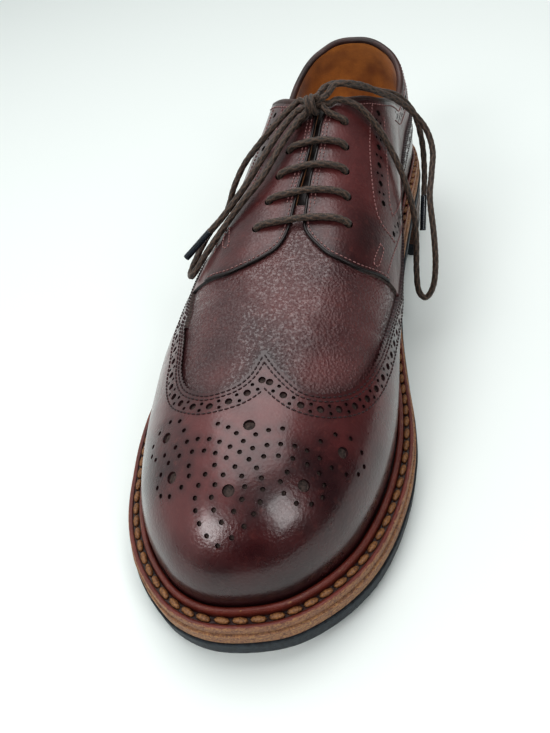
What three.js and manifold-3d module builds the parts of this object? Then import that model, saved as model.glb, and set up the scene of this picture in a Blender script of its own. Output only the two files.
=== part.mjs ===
// Wingtip derby shoe, right foot, open lacing on a stormwelted leather and rubber sole.
// Millimetres, +Z up, toe towards -Y, medial side towards +X.
// The origin lies on the floor under the middle of the heel.

import * as THREE from 'three';
import { ParametricGeometry } from 'three/addons/geometries/ParametricGeometry.js';
import { mergeVertices } from 'three/addons/utils/BufferGeometryUtils.js';
import Module from 'manifold-3d';

const wasm = await Module();
wasm.setup();

// Last and upper
const lastLength = 292;
const ballWidth = 97.5;
const instepHeight = 80;
const collarHeight = 57;
const heelSeatSetback = 31;
const counterSwell = 3;
const wallThickness = 2.2;
const layerThickness = 1.2;
const eyeletDiameter = 4;
const tongueThickness = 2.4;

// Sole
const heelHeight = 22;
const topPieceThickness = 7;
const toeSpring = 7.2;
const outsoleThickness = 7.4;
const midsoleThickness = 5.2;
const weltThickness = 4.2;
const weltMarginToe = 8.6;
const weltMarginHeel = 5.4;
const weltRibHeight = 2.6;
const weltRibWidth = 2.8;
const weltLipWidth = 1.9;
const weltInset = 5;
const midsoleStep = 0.7;
const outsoleStep = 1.3;
const insoleThickness = 4.6;
const clearance = 0.3;

// Lace
const laceDiameter = 2.8;
const agletLength = 15;
const agletDiameter = 3;

// Stations along the shoe, as shares of the last's length from the heel
const heelFan = 0.116;
const toeFan = 0.829;
const ballBack = 0.63;
const ballFront = 0.733;
const seatFront = 0.178;
const heelBreast = 0.229;
const counterFront = 0.2;
const flatReach = 0.6;

const halfBall = ballWidth / 2;
const soleStack = outsoleThickness + midsoleThickness + weltThickness;
const stationY = (along) => heelSeatSetback - along * lastLength;
const alongOf = (y) => (heelSeatSetback - y) / lastLength;

// Feather line seen from below, from the heel along the medial side and back
const featherLine = [
  { along: 0.000, across: 0.000 },
  { along: 0.003, across: 0.185 },
  { along: 0.017, across: 0.369 },
  { along: 0.041, across: 0.523 },
  { along: 0.092, across: 0.636 },
  { along: 0.161, across: 0.656 },
  { along: 0.264, across: 0.636 },
  { along: 0.384, across: 0.615 },
  { along: 0.486, across: 0.656 },
  { along: 0.589, across: 0.763 },
  { along: 0.664, across: 0.857 },
  { along: 0.733, across: 0.909 },
  { along: 0.801, across: 0.898 },
  { along: 0.856, across: 0.841 },
  { along: 0.908, across: 0.734 },
  { along: 0.952, across: 0.554 },
  { along: 0.983, across: 0.328 },
  { along: 1.000, across: -0.072 },
  { along: 0.990, across: -0.318 },
  { along: 0.966, across: -0.512 },
  { along: 0.932, across: -0.692 },
  { along: 0.890, across: -0.838 },
  { along: 0.836, across: -0.958 },
  { along: 0.767, across: -1.058 },
  { along: 0.699, across: -1.098 },
  { along: 0.630, across: -1.071 },
  { along: 0.538, across: -0.964 },
  { along: 0.435, across: -0.821 },
  { along: 0.315, across: -0.718 },
  { along: 0.195, across: -0.667 },
  { along: 0.092, across: -0.636 },
  { along: 0.041, across: -0.513 },
  { along: 0.017, across: -0.359 },
  { along: 0.003, across: -0.185 },
];

// Sections of the last: where its ridge runs, how high it is over the feather line, how square
// the section is, how far each wall swells past the feather line, how far the lace presses it flat
const lastSections = [
  { along: 0.000, spine: 0.000, ridge: 1.019, power: 3.00, medial: 0.041, lateral: 0.041, flat: 0 },
  { along: 0.050, spine: 0.008, ridge: 1.019, power: 3.00, medial: -0.016, lateral: -0.024, flat: 0 },
  { along: 0.116, spine: 0.021, ridge: 1.019, power: 3.00, medial: -0.072, lateral: -0.072, flat: 0 },
  { along: 0.212, spine: 0.066, ridge: 0.986, power: 2.70, medial: -0.008, lateral: -0.046, flat: 0 },
  { along: 0.298, spine: 0.104, ridge: 0.954, power: 2.30, medial: 0.086, lateral: 0.018, flat: 0.010 },
  { along: 0.384, spine: 0.124, ridge: 0.938, power: 2.00, medial: 0.176, lateral: 0.078, flat: 0.040 },
  { along: 0.486, spine: 0.110, ridge: 0.928, power: 1.84, medial: 0.208, lateral: 0.092, flat: 0.076 },
  { along: 0.572, spine: 0.092, ridge: 0.869, power: 1.85, medial: 0.175, lateral: 0.084, flat: 0.099 },
  { along: 0.658, spine: 0.051, ridge: 0.738, power: 1.95, medial: 0.107, lateral: 0.052, flat: 0.045 },
  { along: 0.743, spine: 0.000, ridge: 0.619, power: 2.10, medial: 0.063, lateral: 0.004, flat: 0 },
  { along: 0.812, spine: -0.051, ridge: 0.556, power: 2.20, medial: 0.047, lateral: -0.010, flat: 0 },
  { along: 0.870, spine: -0.076, ridge: 0.523, power: 2.29, medial: 0.035, lateral: -0.010, flat: 0 },
  { along: 0.932, spine: -0.080, ridge: 0.482, power: 2.37, medial: 0.027, lateral: -0.004, flat: 0 },
  { along: 1.000, spine: -0.082, ridge: 0.411, power: 2.45, medial: 0.021, lateral: 0.004, flat: 0 },
];

// Edge of the wing cap over the toes, from the lateral side over its peak to the medial side
const wingFront = [
  { along: 0.650, across: -0.815 },
  { along: 0.676, across: -0.790 },
  { along: 0.724, across: -0.708 },
  { along: 0.753, across: -0.665 },
  { along: 0.779, across: -0.587 },
  { along: 0.795, across: -0.496 },
  { along: 0.805, across: -0.355 },
  { along: 0.803, across: -0.246 },
  { along: 0.794, across: -0.131 },
  { along: 0.778, across: -0.047 },
  { along: 0.755, across: 0.002 },
  { along: 0.744, across: 0.025 },
  { along: 0.755, across: 0.094 },
  { along: 0.770, across: 0.189 },
  { along: 0.785, across: 0.330 },
  { along: 0.785, across: 0.451 },
  { along: 0.775, across: 0.570 },
  { along: 0.756, across: 0.679 },
  { along: 0.724, across: 0.761 },
  { along: 0.685, across: 0.810 },
  { along: 0.650, across: 0.835 },
];

// Upper edge of the wing along each side, as shares of the collar's height over the feather line
const wingLateral = [
  { along: 0.682, up: 0.746 },
  { along: 0.647, up: 0.754 },
  { along: 0.589, up: 0.728 },
  { along: 0.521, up: 0.653 },
  { along: 0.435, up: 0.539 },
  { along: 0.332, up: 0.429 },
  { along: 0.212, up: 0.375 },
  { along: 0.092, up: 0.412 },
  { along: -0.062, up: 0.430 },
];
const wingMedial = [
  { along: 0.682, up: 0.602 },
  { along: 0.616, up: 0.587 },
  { along: 0.531, up: 0.531 },
  { along: 0.435, up: 0.452 },
  { along: 0.332, up: 0.385 },
  { along: 0.212, up: 0.366 },
  { along: 0.092, up: 0.412 },
  { along: -0.062, up: 0.430 },
];

// Front edge of the quarters and their facings, from the lateral side round the throat
const facingEdge = [
  { along: 0.570, across: -1.500 },
  { along: 0.599, across: -0.985 },
  { along: 0.614, across: -0.683 },
  { along: 0.621, across: -0.491 },
  { along: 0.616, across: -0.338 },
  { along: 0.602, across: -0.176 },
  { along: 0.584, across: -0.058 },
  { along: 0.560, across: -0.008 },
  { along: 0.522, across: 0.010 },
  { along: 0.522, across: 0.114 },
  { along: 0.558, across: 0.134 },
  { along: 0.583, across: 0.272 },
  { along: 0.594, across: 0.403 },
  { along: 0.592, across: 0.591 },
  { along: 0.567, across: 0.794 },
  { along: 0.534, across: 1.026 },
  { along: 0.500, across: 1.500 },
];

// Slit between the facings, left edge then right edge
const throatSlit = [
  { along: 0.522, left: 0.010, right: 0.114 },
  { along: 0.498, left: 0.020, right: 0.110 },
  { along: 0.478, left: 0.034, right: 0.112 },
  { along: 0.441, left: 0.052, right: 0.122 },
  { along: 0.399, left: 0.052, right: 0.112 },
  { along: 0.325, left: 0.058, right: 0.132 },
];

// Topline seen from the side, as shares of the collar's height over the feather line
const topline = [
  { along: 0.390, up: 1.465 },
  { along: 0.373, up: 1.364 },
  { along: 0.349, up: 1.273 },
  { along: 0.315, up: 1.164 },
  { along: 0.288, up: 1.054 },
  { along: 0.260, up: 0.960 },
  { along: 0.229, up: 0.847 },
  { along: 0.192, up: 0.720 },
  { along: 0.154, up: 0.663 },
  { along: 0.113, up: 0.672 },
  { along: 0.068, up: 0.751 },
  { along: 0.031, up: 0.868 },
  { along: 0.000, up: 0.965 },
  { along: -0.062, up: 1.040 },
];

// Eyelets from the top pair down, seen from above
const eyelets = [
  { medialAlong: 0.382, medialAcross: 0.300, lateralAlong: 0.391, lateralAcross: -0.104 },
  { medialAlong: 0.422, medialAcross: 0.340, lateralAlong: 0.434, lateralAcross: -0.125 },
  { medialAlong: 0.461, medialAcross: 0.374, lateralAlong: 0.476, lateralAcross: -0.168 },
  { medialAlong: 0.499, medialAcross: 0.420, lateralAlong: 0.515, lateralAcross: -0.219 },
  { medialAlong: 0.539, medialAcross: 0.462, lateralAlong: 0.556, lateralAcross: -0.280 },
];

// Sides of the tongue seen from above
const tonguePlan = [
  { along: 0.610, left: -0.28, right: 0.40 },
  { along: 0.540, left: -0.36, right: 0.52 },
  { along: 0.440, left: -0.40, right: 0.62 },
  { along: 0.375, left: -0.38, right: 0.60 },
  { along: 0.352, left: -0.28, right: 0.50 },
];

// Free lengths of the lace, from the knot outward
const loopLateralPoints = [
  [-4.7, -76.2, 108.2], [-10, -82, 105.2], [-18, -88.5, 98.6], [-30, -86, 85.4],
  [-35.4, -91.5, 76.8], [-39.8, -97, 66.6], [-43, -112.5, 66], [-46.2, -122.5, 61.6],
  [-47.4, -131.5, 58.6], [-44.6, -135.8, 60.2], [-37.6, -130.6, 69], [-28.6, -123.4, 79],
  [-21.6, -118.8, 86.2], [-14.6, -111.6, 92.4], [-8.4, -96.8, 99.6], [-3.6, -86.4, 104],
];
const endLateralPoints = [
  [-5, -82, 106.2], [-10, -90.6, 102.4], [-15, -102.4, 97.6], [-22.5, -112.5, 88.8],
  [-31, -121, 80.2], [-38, -124.5, 74],
];
const loopMedialPoints = [
  [7.6, -76.4, 110.2], [10.4, -73.2, 112.8], [15.4, -72.2, 112.8], [20.6, -64.6, 108.2],
  [26, -58.6, 102.6], [32.4, -52.4, 96.4], [39, -48.4, 88.6], [45.6, -49.4, 80.2],
  [49, -54.4, 72.4], [49.4, -64, 66.4], [49.6, -75.4, 60.4], [52, -84, 49],
  [53.6, -91, 37], [53.2, -96.4, 27.4], [50.2, -99.4, 22.6], [46.8, -99, 26],
  [45.4, -94.6, 34.6], [44.6, -87, 46.4], [43, -82, 57.6], [38.2, -78.4, 73.4],
  [33, -76, 84.8], [27.6, -74.4, 94], [20.2, -73.6, 103], [12.2, -74, 106.8],
  [8.4, -76.4, 106.4],
];
const endMedialPoints = [
  [4.2, -75, 110.4], [6, -70.6, 111.2], [11.6, -67.4, 111], [18, -59.4, 105.6],
  [24.8, -52.4, 100.4], [32.6, -45.8, 94.8], [39.4, -42.6, 85], [43.4, -46, 72.8],
  [45.2, -53.2, 61], [45.6, -60.8, 51.6],
];
const knotCentre = [1.9, -80.2, 107.8];
const knotRadii = [5.2, 4.8, 4];

// Smooth table lookup over the shares along the shoe
function tableCurve(rows, column) {
  const xs = rows.map((row) => row.along);
  const ys = rows.map((row) => row[column]);
  const rising = xs[xs.length - 1] > xs[0];
  if (!rising) {
    xs.reverse();
    ys.reverse();
  }
  const last = xs.length - 1;
  const slopes = xs.map((x, i) => {
    if (i === 0) return (ys[1] - ys[0]) / (xs[1] - xs[0]);
    if (i === last) return (ys[last] - ys[last - 1]) / (xs[last] - xs[last - 1]);
    const before = xs[i] - xs[i - 1];
    const after = xs[i + 1] - xs[i];
    const slopeBefore = (ys[i] - ys[i - 1]) / before;
    const slopeAfter = (ys[i + 1] - ys[i]) / after;
    return (slopeBefore * after + slopeAfter * before) / (before + after);
  });
  return (x) => {
    if (x <= xs[0]) return ys[0] + slopes[0] * (x - xs[0]);
    if (x >= xs[last]) return ys[last] + slopes[last] * (x - xs[last]);
    let i = 0;
    while (x > xs[i + 1]) i += 1;
    const h = xs[i + 1] - xs[i];
    const t = (x - xs[i]) / h;
    const t2 = t * t;
    const t3 = t2 * t;
    return (2 * t3 - 3 * t2 + 1) * ys[i] + (t3 - 2 * t2 + t) * h * slopes[i]
      + (3 * t2 - 2 * t3) * ys[i + 1] + (t3 - t2) * h * slopes[i + 1];
  };
}

const spineShare = tableCurve(lastSections, 'spine');
const ridgeShare = tableCurve(lastSections, 'ridge');
const powerAt = tableCurve(lastSections, 'power');
const swellMedial = tableCurve(lastSections, 'medial');
const swellLateral = tableCurve(lastSections, 'lateral');
const laceFlat = tableCurve(lastSections, 'flat');

// Underside of the outsole over the floor: toe spring, flat ball, arch and raised heel seat
const toeEnd = 1 + (weltMarginToe + outsoleStep) / lastLength;
function groundAt(along) {
  if (along > ballFront) {
    const rise = (along - ballFront) / (toeEnd - ballFront);
    return toeSpring * rise * rise;
  }
  if (along > ballBack) return 0;
  const t = Math.min((ballBack - along) / (ballBack - seatFront), 1);
  return heelHeight * t * t * (3 - 2 * t);
}
const featherHeight = (along) => groundAt(along) + soleStack;

// Feather line as a fine polygon that rays from inside the last are measured against
const featherPoints = new THREE.CatmullRomCurve3(
  featherLine.map((row) => new THREE.Vector3(row.across * halfBall, stationY(row.along), 0)),
  true,
  'centripetal',
).getPoints(700);

function reachOf(base, direction) {
  let best = Infinity;
  for (let i = 0; i < featherPoints.length - 1; i += 1) {
    const p = featherPoints[i];
    const q = featherPoints[i + 1];
    const ex = q.x - p.x;
    const ey = q.y - p.y;
    const det = direction.y * ex - direction.x * ey;
    if (Math.abs(det) < 1e-12) continue;
    const wx = p.x - base.x;
    const wy = p.y - base.y;
    const t = (wy * ex - wx * ey) / det;
    const s = (direction.x * wy - direction.y * wx) / det;
    if (s >= -1e-9 && s <= 1 + 1e-9 && t > 1 && t < best) best = t;
  }
  return best;
}

// Columns of the last: a fan round the heel, straight sections, and a fan round the toe
const heelFanSteps = 6;
const sectionSteps = 18;
const toeFanSteps = 7;
const sideSteps = heelFanSteps + sectionSteps + toeFanSteps;
const columnCount = 2 * sideSteps;

function makeColumn(index) {
  const side = index <= sideSteps ? 1 : -1;
  const step = index <= sideSteps ? index : columnCount - index;
  let base;
  let direction;
  if (step <= heelFanSteps) {
    const angle = (Math.PI / 2) * (step / heelFanSteps);
    base = { x: spineShare(heelFan) * halfBall, y: stationY(heelFan) };
    direction = { x: side * Math.sin(angle), y: Math.cos(angle) };
  } else if (step < heelFanSteps + sectionSteps) {
    const along = heelFan + (toeFan - heelFan) * ((step - heelFanSteps) / sectionSteps);
    base = { x: spineShare(along) * halfBall, y: stationY(along) };
    direction = { x: side, y: 0 };
  } else {
    const angle = (Math.PI / 2) * (1 - (step - heelFanSteps - sectionSteps) / toeFanSteps);
    base = { x: spineShare(toeFan) * halfBall, y: stationY(toeFan) };
    direction = { x: side * Math.sin(angle), y: -Math.cos(angle) };
  }
  return finishColumn(base, direction);
}

function finishColumn(base, direction) {
  const reach = reachOf(base, direction);
  const along = alongOf(base.y + direction.y * reach);
  const turn = (1 + direction.x) / 2;
  const swell = (swellMedial(along) * turn + swellLateral(along) * (1 - turn)) * halfBall;
  const back = Math.min(Math.max(1 - along / counterFront, 0), 1);
  const counter = counterSwell * back * back * (3 - 2 * back);
  return { base, direction, reach, along, swell, counter };
}

const columns = Array.from({ length: columnCount }, (_, index) => makeColumn(index));

// Heights of the last's rows, from the feather line to the ridge
const rises = [0, 0.05, 0.14, 0.24, 0.34, 0.44, 0.54, 0.64, 0.74, 0.83, 0.92, 1];

// Point of the last's surface grown outward: rise 0 is the feather line, rise 1 the ridge
function lastPoint(column, rise, grow) {
  const angle = (rise * Math.PI) / 2;
  const baseAlong = alongOf(column.base.y);
  const power = powerAt(column.along * (1 - rise) + baseAlong * rise);
  const cos = Math.max(Math.cos(angle), 0);
  const sin = Math.sin(angle);
  const height = sin ** (2 / power);
  const swell = column.swell * Math.sin(2 * angle) * cos * cos * 1.6
    + column.counter * Math.sin(Math.PI * Math.min(height / 0.62, 1));
  const across = cos ** (2 / power);
  const radius = rise === 1 ? 0 : (column.reach + grow) * across + swell;
  const x = column.base.x + column.direction.x * radius;
  const y = column.base.y + column.direction.y * radius;
  const foot = featherHeight(column.along);
  const along = alongOf(y);
  const ridge = featherHeight(along) + ridgeShare(along) * instepHeight + grow;
  const flat = Math.max(1 - (across / flatReach) ** 2, 0) ** 2;
  const dip = laceFlat(along) * instepHeight * flat;
  return new THREE.Vector3(x, y, foot + (ridge - foot) * height - dip);
}

// Point outside the feather line at the foot of the last
function footPoint(column, radius, height) {
  return new THREE.Vector3(
    column.base.x + column.direction.x * radius,
    column.base.y + column.direction.y * radius,
    height,
  );
}

// A closed geometry becomes a solid with its faces pointing out
function toSolid(source) {
  const geometry = source.index ? source.clone() : source;
  geometry.deleteAttribute('normal');
  geometry.deleteAttribute('uv');
  const merged = mergeVertices(geometry, 1e-4);
  const position = merged.attributes.position.array;
  const faces = [];
  let volume = 0;
  for (let i = 0; i < merged.index.count; i += 3) {
    const a = merged.index.getX(i);
    const b = merged.index.getX(i + 1);
    const c = merged.index.getX(i + 2);
    if (a === b || b === c || c === a) continue;
    faces.push([a, b, c]);
    const [ax, ay, az] = position.subarray(3 * a, 3 * a + 3);
    const [bx, by, bz] = position.subarray(3 * b, 3 * b + 3);
    const [cx, cy, cz] = position.subarray(3 * c, 3 * c + 3);
    volume += ax * (by * cz - bz * cy) + ay * (bz * cx - bx * cz) + az * (bx * cy - by * cx);
  }
  const triVerts = new Uint32Array(faces.flatMap(([a, b, c]) => (volume > 0 ? [a, b, c] : [a, c, b])));
  const vertProperties = new Float32Array(position);
  return new wasm.Manifold(new wasm.Mesh({ numProp: 3, vertProperties, triVerts }));
}

// Rings of points, one per row, over all columns; closed by its first and last rows or end to end
function loft(rows, endless) {
  const stacks = endless ? rows.length : rows.length - 1;
  const place = (u, v, target) => {
    const column = columns[Math.round(u * columnCount) % columnCount];
    target.copy(rows[Math.round(v * stacks) % rows.length](column));
  };
  return toSolid(new ParametricGeometry(place, columnCount, stacks));
}

// Prism over a plan outline, given in millimetres
function planPrism(outline, bottom, top) {
  const shape = new THREE.Shape(outline.map(([x, y]) => new THREE.Vector2(x, y)));
  const geometry = new THREE.ExtrudeGeometry(shape, { depth: top - bottom, bevelEnabled: false });
  geometry.translate(0, 0, bottom);
  return toSolid(geometry);
}

// Prism across the shoe over an outline seen from the side
function sidePrism(outline, left, right) {
  const shape = new THREE.Shape(outline.map(([y, z]) => new THREE.Vector2(y, z)));
  const geometry = new THREE.ExtrudeGeometry(shape, { depth: right - left, bevelEnabled: false });
  const turn = new THREE.Matrix4().makeBasis(
    new THREE.Vector3(0, 1, 0),
    new THREE.Vector3(0, 0, 1),
    new THREE.Vector3(1, 0, 0),
  );
  geometry.applyMatrix4(turn);
  geometry.translate(left, 0, 0);
  return toSolid(geometry);
}

function planPoints(rows, column, count) {
  const curve = new THREE.SplineCurve(
    rows.map((row) => new THREE.Vector2(row[column] * halfBall, stationY(row.along))),
  );
  return curve.getPoints(count).map((p) => [p.x, p.y]);
}

function sidePoints(rows, count) {
  const upAt = tableCurve(rows, 'up');
  const first = rows[0].along;
  const final = rows[rows.length - 1].along;
  return Array.from({ length: count + 1 }, (_, i) => {
    const along = first + (final - first) * (i / count);
    return [stationY(along), featherHeight(along) + upAt(along) * collarHeight];
  });
}

const far = 2 * lastLength;

// Sole layers, each a step of the stack
const marginAt = tableCurve([
  { along: 0.00, width: 0 },
  { along: 0.20, width: 0.03 },
  { along: 0.40, width: 0.35 },
  { along: 0.58, width: 0.80 },
  { along: 0.72, width: 1 },
  { along: 1.00, width: 1 },
], 'width');

function soleRadius(column, step) {
  const share = Math.min(Math.max(marginAt(column.along), 0), 1);
  return column.reach + weltMarginHeel + (weltMarginToe - weltMarginHeel) * share + step;
}

// Height of a layer under a point of the sole, following the ground line
function layerHeight(column, radius, level) {
  return groundAt(alongOf(column.base.y + column.direction.y * radius)) + level;
}

function soleLayer(lower, upper, lowerStep, upperStep) {
  const at = (share, step, level) => (column) => {
    const radius = soleRadius(column, step) * share;
    return footPoint(column, radius, layerHeight(column, radius, level));
  };
  return loft([
    at(0, 0, lower),
    at(0.8, lowerStep, lower),
    at(1, lowerStep, lower),
    at(1, upperStep, upper),
    at(0.8, upperStep, upper),
    at(0, 0, upper),
  ], false);
}

const outsoleTop = outsoleThickness;
const midsoleTop = outsoleThickness + midsoleThickness;
const outsole = soleLayer(0, outsoleTop - clearance, outsoleStep - 0.4, outsoleStep);
const midsole = soleLayer(outsoleTop, midsoleTop - clearance, midsoleStep, midsoleStep);

// The wing lies on the vamp in front and on the quarters behind, where it stands out further
const wingGrow = (column) => {
  const t = Math.min(Math.max((0.62 - alongOf(column.base.y)) / 0.1, 0), 1);
  return layerThickness * (1 + 0.75 * t * t * (3 - 2 * t));
};

// Welt: a flat strip round the whole shoe with a stitch groove and a raised rib by the upper
function weltPoint(offsetFromFeather, level) {
  return (column) => {
    const radius = column.reach + offsetFromFeather;
    return footPoint(column, radius, layerHeight(column, radius, midsoleTop + level));
  };
}
function ribFoot(column) {
  const grow = wingGrow(column);
  const next = lastPoint(column, rises[1], grow);
  const nextRadius = Math.hypot(next.x - column.base.x, next.y - column.base.y);
  const rise = Math.min((weltRibHeight + 2 * clearance) / (next.z - featherHeight(column.along)), 1);
  const lean = Math.max(nextRadius - column.reach - grow, 0);
  return column.reach + grow + lean * rise + clearance;
}
// Rib and lip keep their widths while there is room for both, and share what is left round the heel
const weltRoom = (column) => soleRadius(column, 0) - ribFoot(column);
function ribPoint(share, level) {
  return (column) => {
    const width = Math.min(weltRibWidth, 0.42 * weltRoom(column));
    const radius = ribFoot(column) + width * share;
    return footPoint(column, radius, layerHeight(column, radius, midsoleTop + level));
  };
}
function lipPoint(share, level) {
  return (column) => {
    const width = Math.min(weltLipWidth, 0.36 * weltRoom(column));
    const radius = soleRadius(column, 0) - width * share;
    return footPoint(column, radius, layerHeight(column, radius, midsoleTop + level));
  };
}
const weltTop = weltThickness - clearance;
const welt = loft([
  weltPoint(-weltInset, 0),
  lipPoint(0, 0),
  lipPoint(0, weltTop - 0.5),
  lipPoint(0.3, weltTop),
  lipPoint(0.7, weltTop),
  lipPoint(1, weltTop - 0.7),
  ribPoint(1.1, weltTop - 0.7),
  ribPoint(1, weltTop + 0.55 * weltRibHeight),
  ribPoint(0.55, weltTop + weltRibHeight),
  ribPoint(0.04, weltTop + weltRibHeight),
  ribPoint(0, weltTop),
  weltPoint(-weltInset, weltTop),
], true);

// Insole inside the welt, standing a little above it
const insole = loft([
  (column) => footPoint(column, 0, layerHeight(column, 0, midsoleTop)),
  (column) => {
    const radius = column.reach - weltInset - clearance;
    return footPoint(column, radius, layerHeight(column, radius, midsoleTop));
  },
  (column) => {
    const radius = column.reach - weltInset - clearance;
    return footPoint(column, radius, layerHeight(column, radius, midsoleTop + insoleThickness));
  },
  (column) => footPoint(column, 0, layerHeight(column, 0, midsoleTop + insoleThickness)),
], false);

// Heel: leather lifts on a rubber top piece, cut off straight at the breast
function heelBlock(bottom, top, step) {
  const breastY = stationY(heelBreast);
  const back = columns
    .map((column) => footPoint(column, soleRadius(column, step), 0))
    .filter((p) => p.y > breastY + 2);
  const medial = back.filter((p, i) => i < back.length / 2);
  const lateral = back.filter((p, i) => i >= back.length / 2);
  const edge = [...medial.map((p) => [p.x, p.y])];
  const firstSide = medial[medial.length - 1];
  const lastSide = lateral[0];
  edge.push([firstSide.x, breastY]);
  for (let i = 1; i < 6; i += 1) {
    const share = i / 6;
    const x = firstSide.x + (lastSide.x - firstSide.x) * share;
    edge.push([x, breastY + 4 * Math.sin(Math.PI * share)]);
  }
  edge.push([lastSide.x, breastY]);
  edge.push(...lateral.map((p) => [p.x, p.y]));
  return planPrism(edge, bottom, top);
}
const seatProfile = Array.from({ length: 25 }, (_, i) => {
  const along = heelBreast + 0.03 - (heelBreast + 0.03 + 0.1) * (i / 24);
  return [stationY(along), groundAt(along) - clearance];
});
const underSeat = sidePrism([
  ...seatProfile,
  [seatProfile[24][0], -10],
  [seatProfile[0][0], -10],
], -far, far);
const heelTopPiece = heelBlock(0, topPieceThickness, outsoleStep - 0.6);
const heelLifts = heelBlock(topPieceThickness + clearance, heelHeight + 5, outsoleStep - 0.4)
  .intersect(underSeat);

// Upper: leather over its lining in one wall, open below, at the collar and down the throat
function lastBody(grow, drop) {
  const growOf = (column) => (typeof grow === 'function' ? grow(column) : grow);
  const rows = [];
  const footLevel = (column) => featherHeight(column.along);
  rows.push((column) => footPoint(column, 0, layerHeight(column, 0, soleStack - drop)));
  rows.push((column) => {
    const radius = (column.reach + growOf(column)) * 0.5;
    return footPoint(column, radius, layerHeight(column, radius, soleStack - drop));
  });
  if (drop > 0) {
    rows.push((column) => footPoint(column, column.reach + growOf(column), footLevel(column) - drop));
  }
  for (const rise of rises) rows.push((column) => lastPoint(column, rise, growOf(column)));
  return loft(rows, false);
}

const wingPlanPoints = planPoints(wingFront, 'across', 54);
const wingFrontRegion = planPrism([
  [-far, wingPlanPoints[0][1]],
  ...wingPlanPoints,
  [far, wingPlanPoints[wingPlanPoints.length - 1][1]],
  [far, -far],
  [-far, -far],
], -20, far);

function wingSideRegion(rows, left, right) {
  const edge = sidePoints(rows, 24);
  return sidePrism([...edge, [edge[24][0], -20], [edge[0][0], -20]], left, right);
}
const wingRegion = wingFrontRegion
  .add(wingSideRegion(wingLateral, -far, 0))
  .add(wingSideRegion(wingMedial, 0, far));

const quarterRegion = planPrism([
  ...planPoints(facingEdge.slice(0, 9), 'across', 30),
  ...planPoints(facingEdge.slice(9), 'across', 30),
  [far, far],
  [-far, far],
], -20, far);

const collarEdge = sidePoints(topline, 40);
const collarOpening = sidePrism([
  ...collarEdge,
  [collarEdge[40][0] + 20, far],
  [collarEdge[0][0], far],
], -far, far);

const slitLeft = planPoints(throatSlit, 'left', 12);
const slitRight = planPoints(throatSlit, 'right', 12).reverse();
const slitPrism = planPrism([...slitLeft, ...slitRight], instepHeight * 0.6, far);

// Height of the grown last over a plan point, and its direction outward there
function surfacePoint(x, y, grow) {
  const along = alongOf(y);
  const base = { x: spineShare(along) * halfBall, y };
  const column = finishColumn(base, { x: x >= base.x ? 1 : -1, y: 0 });
  let low = 0;
  let high = 1;
  for (let i = 0; i < 40; i += 1) {
    const middle = (low + high) / 2;
    const p = lastPoint(column, middle, grow);
    if (Math.abs(p.x - base.x) > Math.abs(x - base.x)) low = middle;
    else high = middle;
  }
  return lastPoint(column, (low + high) / 2, grow);
}
function surfaceNormal(x, y, grow) {
  const step = 0.5;
  const dx = surfacePoint(x + step, y, grow).sub(surfacePoint(x - step, y, grow));
  const dy = surfacePoint(x, y + step, grow).sub(surfacePoint(x, y - step, grow));
  return dx.cross(dy).normalize();
}

const eyeletSpots = eyelets.flatMap((row) => [
  { x: row.medialAcross * halfBall, y: stationY(row.medialAlong) },
  { x: row.lateralAcross * halfBall, y: stationY(row.lateralAlong) },
]);

function eyeletDrill(spot) {
  const centre = surfacePoint(spot.x, spot.y, 0);
  const normal = surfaceNormal(spot.x, spot.y, 0);
  const drill = new THREE.CylinderGeometry(eyeletDiameter / 2, eyeletDiameter / 2, 14, 10);
  const turn = new THREE.Quaternion().setFromUnitVectors(new THREE.Vector3(0, 1, 0), normal);
  drill.applyQuaternion(turn);
  drill.translate(centre.x, centre.y, centre.z);
  return toSolid(drill);
}

const quarters = lastBody(layerThickness, -clearance).intersect(quarterRegion);
const wings = lastBody(wingGrow, -clearance).intersect(wingRegion);
let upper = lastBody(0, -clearance).add(quarters).add(wings);
upper = upper.subtract(lastBody(-wallThickness, 8));
upper = upper.subtract(collarOpening).subtract(slitPrism);
for (const spot of eyeletSpots) upper = upper.subtract(eyeletDrill(spot));

// Tongue under the slit, following the inside of the facings
const tongueOuter = -wallThickness - clearance;
const tonguePlanPrism = planPrism([
  ...planPoints(tonguePlan, 'left', 14),
  ...planPoints(tonguePlan, 'right', 14).reverse(),
], instepHeight * 0.6, far);
const tongue = lastBody(tongueOuter, 0)
  .subtract(lastBody(tongueOuter - tongueThickness, 8))
  .intersect(tonguePlanPrism);

// Lace: round cord along a smooth curve
function cordGeometry(points, steps) {
  const curve = new THREE.CatmullRomCurve3(points.map((p) => new THREE.Vector3(...p)));
  const section = new THREE.Shape();
  const sides = 8;
  for (let i = 0; i < sides; i += 1) {
    const angle = (2 * Math.PI * i) / sides;
    const x = (laceDiameter / 2) * Math.cos(angle);
    const y = (laceDiameter / 2) * Math.sin(angle);
    if (i === 0) section.moveTo(x, y);
    else section.lineTo(x, y);
  }
  section.closePath();
  return new THREE.ExtrudeGeometry(section, { steps, extrudePath: curve, bevelEnabled: false });
}

const laceLift = layerThickness + laceDiameter / 2 + clearance + 0.2;
function barPoints(row) {
  const count = 6;
  const startX = row.medialAcross * halfBall;
  const endX = row.lateralAcross * halfBall;
  const startY = stationY(row.medialAlong);
  const endY = stationY(row.lateralAlong);
  return Array.from({ length: count + 1 }, (_, i) => {
    const share = i / count;
    const x = startX + (endX - startX) * share;
    const y = startY + (endY - startY) * share;
    const p = surfacePoint(x, y, laceLift);
    return [p.x, p.y, p.z];
  });
}
const laceBars = eyelets.slice(1).map((row) => toSolid(cordGeometry(barPoints(row), 8)));

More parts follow.
